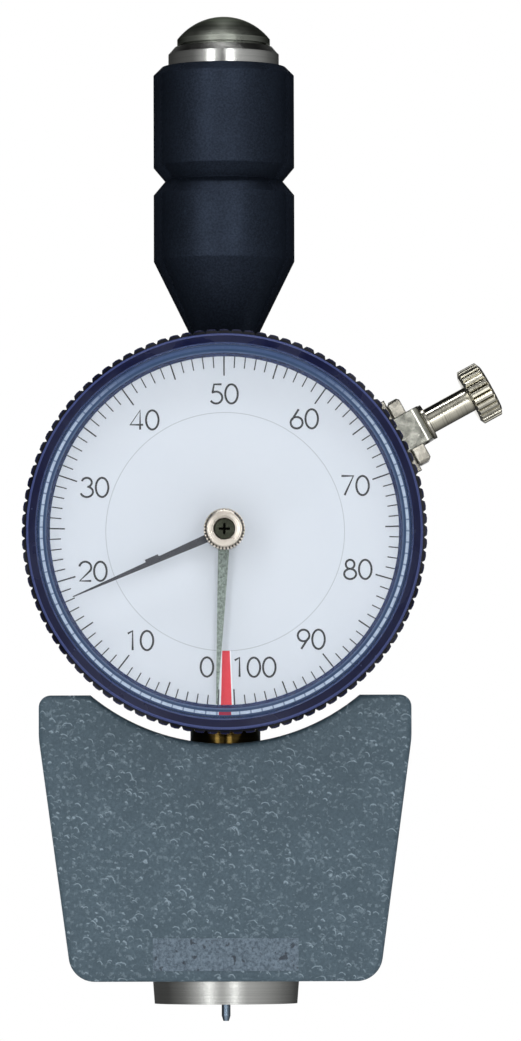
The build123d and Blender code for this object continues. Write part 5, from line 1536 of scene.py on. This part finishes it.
@dataclass
class Studio:
    """Floor, world, lamps, dim walls and camera, in metres."""

    lens: float = 230.26
    sensor: float = 36.0
    camera_place: tuple[float, float, float] = (0.0028339, -0.95, -0.1081136)
    camera_turn: tuple[float, float, float] = (93.0675, 0.1678, -0.1276)
    aim: tuple[float, float, float] = (0.0, 0.0, -0.058)
    ambient: float = 0.435
    wall_radius: float = 1.5
    wall_opening: float = 9.0
    wall_foot: float = -0.45
    wall_dimming: tuple[float, float] = (0.63, 1.2)
    ceiling_share: float = 0.1
    floor_drop: float = 0.06
    floor_radius: float = 3.5
    floor_gain: float = 1.5
    floor_fade: tuple[float, float] = (0.25, 0.8)

    WALL_TONES = RoomTones(0.52, (-40.0, -65.0, -140.0), (40.0, 110.0, 150.0), gap=4.0)
    FLOOR_TONES = RoomTones(0.36, (-47.0, -70.0, -105.0), (40.0, 105.0, 145.0))
    LAMPS = (
        Lamp("left_soft", (-0.40, -0.80, 0.05), (0.2, 0.9), 2.0, on_floor=True),
        Lamp("right_soft", (0.21, -0.86, 0.05), (0.2, 0.9), 2.1, on_floor=True),
        Lamp("top_soft", (0.0, -0.3, 0.87), (0.9, 0.16), 4.2),
        Lamp("back_soft", (0.6, 0.7, 0.75), (0.8, 0.8), 8.0, False),
        Lamp("back_fill", (-0.7, 0.7, 0.5), (0.6, 0.6), 6.0, False),
    )

    def world(self) -> None:
        """White for the camera, glass and gloss; an even soft light for the rest."""
        made = bpy.data.worlds.new("studio_world")
        bpy.context.scene.world = made
        made.use_nodes = True
        graph = Graph(made.node_tree)
        soft = graph.add("Background", {0: (1, 1, 1, 1), 1: self.ambient})
        white = graph.add("Background", {0: (1, 1, 1, 1), 1: 1.0})
        both = graph.add("MixShader", {0: self._seen(graph), 1: soft.outputs[0], 2: white.outputs[0]})
        graph.add("OutputWorld", {0: both.outputs[0]})

    @staticmethod
    def _seen(graph: Graph) -> bpy.types.NodeSocket:
        """One where the camera, gloss or glass sees a surface, else zero.

        Args:
            graph: The graph to add to.

        Returns:
            The mask's socket.
        """
        rays = graph.add("LightPath")
        return graph.math("MAXIMUM", rays.outputs["Is Camera Ray"], graph.math(
            "MAXIMUM", rays.outputs["Is Glossy Ray"], rays.outputs["Is Transmission Ray"]))

    @staticmethod
    def _stage_piece(name: str, mesh: bmesh.types.BMesh) -> bpy.types.Object:
        """Turns a bmesh into a piece of the stage.

        Args:
            name: The piece's name.
            mesh: The finished bmesh; it is freed.

        Returns:
            The stage piece.
        """
        data = bpy.data.meshes.new(name)
        mesh.to_mesh(data)
        mesh.free()
        piece = bpy.data.objects.new(name, data)
        bpy.context.scene.collection.objects.link(piece)
        return piece

    @staticmethod
    def _tone_around(graph: Graph, tones: RoomTones, lamps: list[float]) -> bpy.types.NodeSocket:
        """A grey tone that changes with the direction round the object.

        Args:
            graph: The graph to add to.
            tones: The room's tones.
            lamps: Directions of the lamps that glow in it.

        Returns:
            The tone's socket.
        """
        parts = graph.add("SeparateXYZ", {0: graph.add("TexCoord").outputs["Object"]})
        turn = graph.math("ARCTAN2", parts.outputs[0], graph.math("MULTIPLY", parts.outputs[1], -1.0))
        share = graph.math("ADD", graph.math("DIVIDE", turn, 2 * math.pi), 0.5)
        return graph.bands(share, tones.stops(lamps))

    def walls(self) -> None:
        """Dim walls and ceiling that only gloss shows, open at the back and over the floor."""
        mesh = bmesh.new()
        bmesh.ops.create_uvsphere(mesh, u_segments=72, v_segments=36, radius=self.wall_radius)
        opening = math.radians(self.wall_opening)
        gone = [f for f in mesh.faces if f.calc_center_median().z < self.wall_foot
                or abs(math.atan2(f.calc_center_median().x, f.calc_center_median().y)) < opening]
        bmesh.ops.delete(mesh, geom=gone, context="FACES")
        walls = self._stage_piece("studio_walls", mesh)
        made = bpy.data.materials.new("studio_wall_tone")
        made.use_nodes = True
        graph = Graph(made.node_tree)
        tone = self._tone_around(graph, self.WALL_TONES, [])
        height = graph.add("SeparateXYZ", {0: graph.add("TexCoord").outputs["Object"]}).outputs[2]
        dimmed = graph.ramp(height, *self.wall_dimming, 1.0, self.ceiling_share)
        glow = graph.add("Emission", {0: tone, 1: dimmed})
        graph.add("OutputMaterial", {0: glow.outputs[0]})
        walls.data.materials.append(made)
        walls.visible_camera = False
        walls.visible_diffuse = False
        walls.visible_transmission = False
        walls.visible_shadow = False
        walls.visible_volume_scatter = False

    def floor(self) -> None:
        """A pale floor under the held instrument that fades into the white background; in gloss it glows in a
        grey tone with painted reflections of the side lamps.
        """
        mesh = bmesh.new()
        bmesh.ops.create_circle(mesh, cap_ends=True, segments=96, radius=self.floor_radius)
        low = CAD_BOX[0].z - self.floor_drop
        bmesh.ops.translate(mesh, verts=mesh.verts[:], vec=(0, 0, low))
        floor = self._stage_piece("studio_floor", mesh)
        made = bpy.data.materials.new("pale_floor")
        made.use_nodes = True
        graph = Graph(made.node_tree)
        surface = graph.add("BsdfPrincipled", {"Base Color": (0.92, 0.92, 0.92, 1), "Roughness": 0.8})
        white = graph.add("Emission", {0: (1, 1, 1, 1), 1: 1.0})
        reach = graph.add("VectorMath", {0: graph.add("TexCoord").outputs["Object"]}, operation="LENGTH")
        rays = graph.add("LightPath")
        seen = graph.math("MAXIMUM", rays.outputs["Is Camera Ray"], rays.outputs["Is Transmission Ray"])
        far = graph.math("MULTIPLY", graph.ramp(reach.outputs["Value"], *self.floor_fade), seen)
        both = graph.add("MixShader", {0: far, 1: surface.outputs[0], 2: white.outputs[0]})
        # Painted reflection: in gloss the floor glows in a grey tone, brighter where the side lamps stand.
        lamps = [lamp.direction() for lamp in self.LAMPS if lamp.on_floor]
        tone = self._tone_around(graph, self.FLOOR_TONES, lamps)
        dim = graph.add("Emission", {0: tone, 1: self.floor_gain})
        both = graph.add("MixShader", {
            0: rays.outputs["Is Glossy Ray"], 1: both.outputs[0], 2: dim.outputs[0]})
        graph.add("OutputMaterial", {0: both.outputs[0]})
        floor.data.materials.append(made)

    def lamps(self) -> None:
        """Places the lamps, each facing the object's middle."""
        for lamp in self.LAMPS:
            data = bpy.data.lights.new(lamp.name, "AREA")
            data.shape = "RECTANGLE"
            data.size, data.size_y = lamp.size
            data.energy = lamp.power
            holder = bpy.data.objects.new(lamp.name, data)
            bpy.context.scene.collection.objects.link(holder)
            place = Vector(lamp.place)
            holder.location = place
            holder.rotation_euler = (Vector(self.aim) - place).to_track_quat("-Z", "Y").to_euler()
            holder.visible_glossy = lamp.in_gloss

    def camera(self) -> None:
        """Places the camera a little above the foot, looking a little up."""
        data = bpy.data.cameras.new("camera")
        data.lens = self.lens
        data.sensor_width = self.sensor
        data.clip_start, data.clip_end = 0.05, 30.0
        holder = bpy.data.objects.new("camera", data)
        bpy.context.scene.collection.objects.link(holder)
        holder.location = self.camera_place
        holder.rotation_euler = tuple(math.radians(a) for a in self.camera_turn)
        bpy.context.scene.camera = holder

    def build(self) -> None:
        """Builds the whole studio."""
        self.world()
        self.walls()
        self.floor()
        self.lamps()
        self.camera()
        bpy.context.scene.view_settings.view_transform = "Standard"
        LOG.info("studio: %d lamps", len(self.LAMPS))


def main() -> None:
    """Dresses the CAD nodes, then builds the print and the studio."""
    for group in CAD_FINISHES:
        group.dress()
    DialPrint().build()
    CrystalSkin().build()
    SpringCoil().build()
    Studio().build()


if __name__ == "__main__":
    logging.basicConfig(level=logging.INFO)
    main()
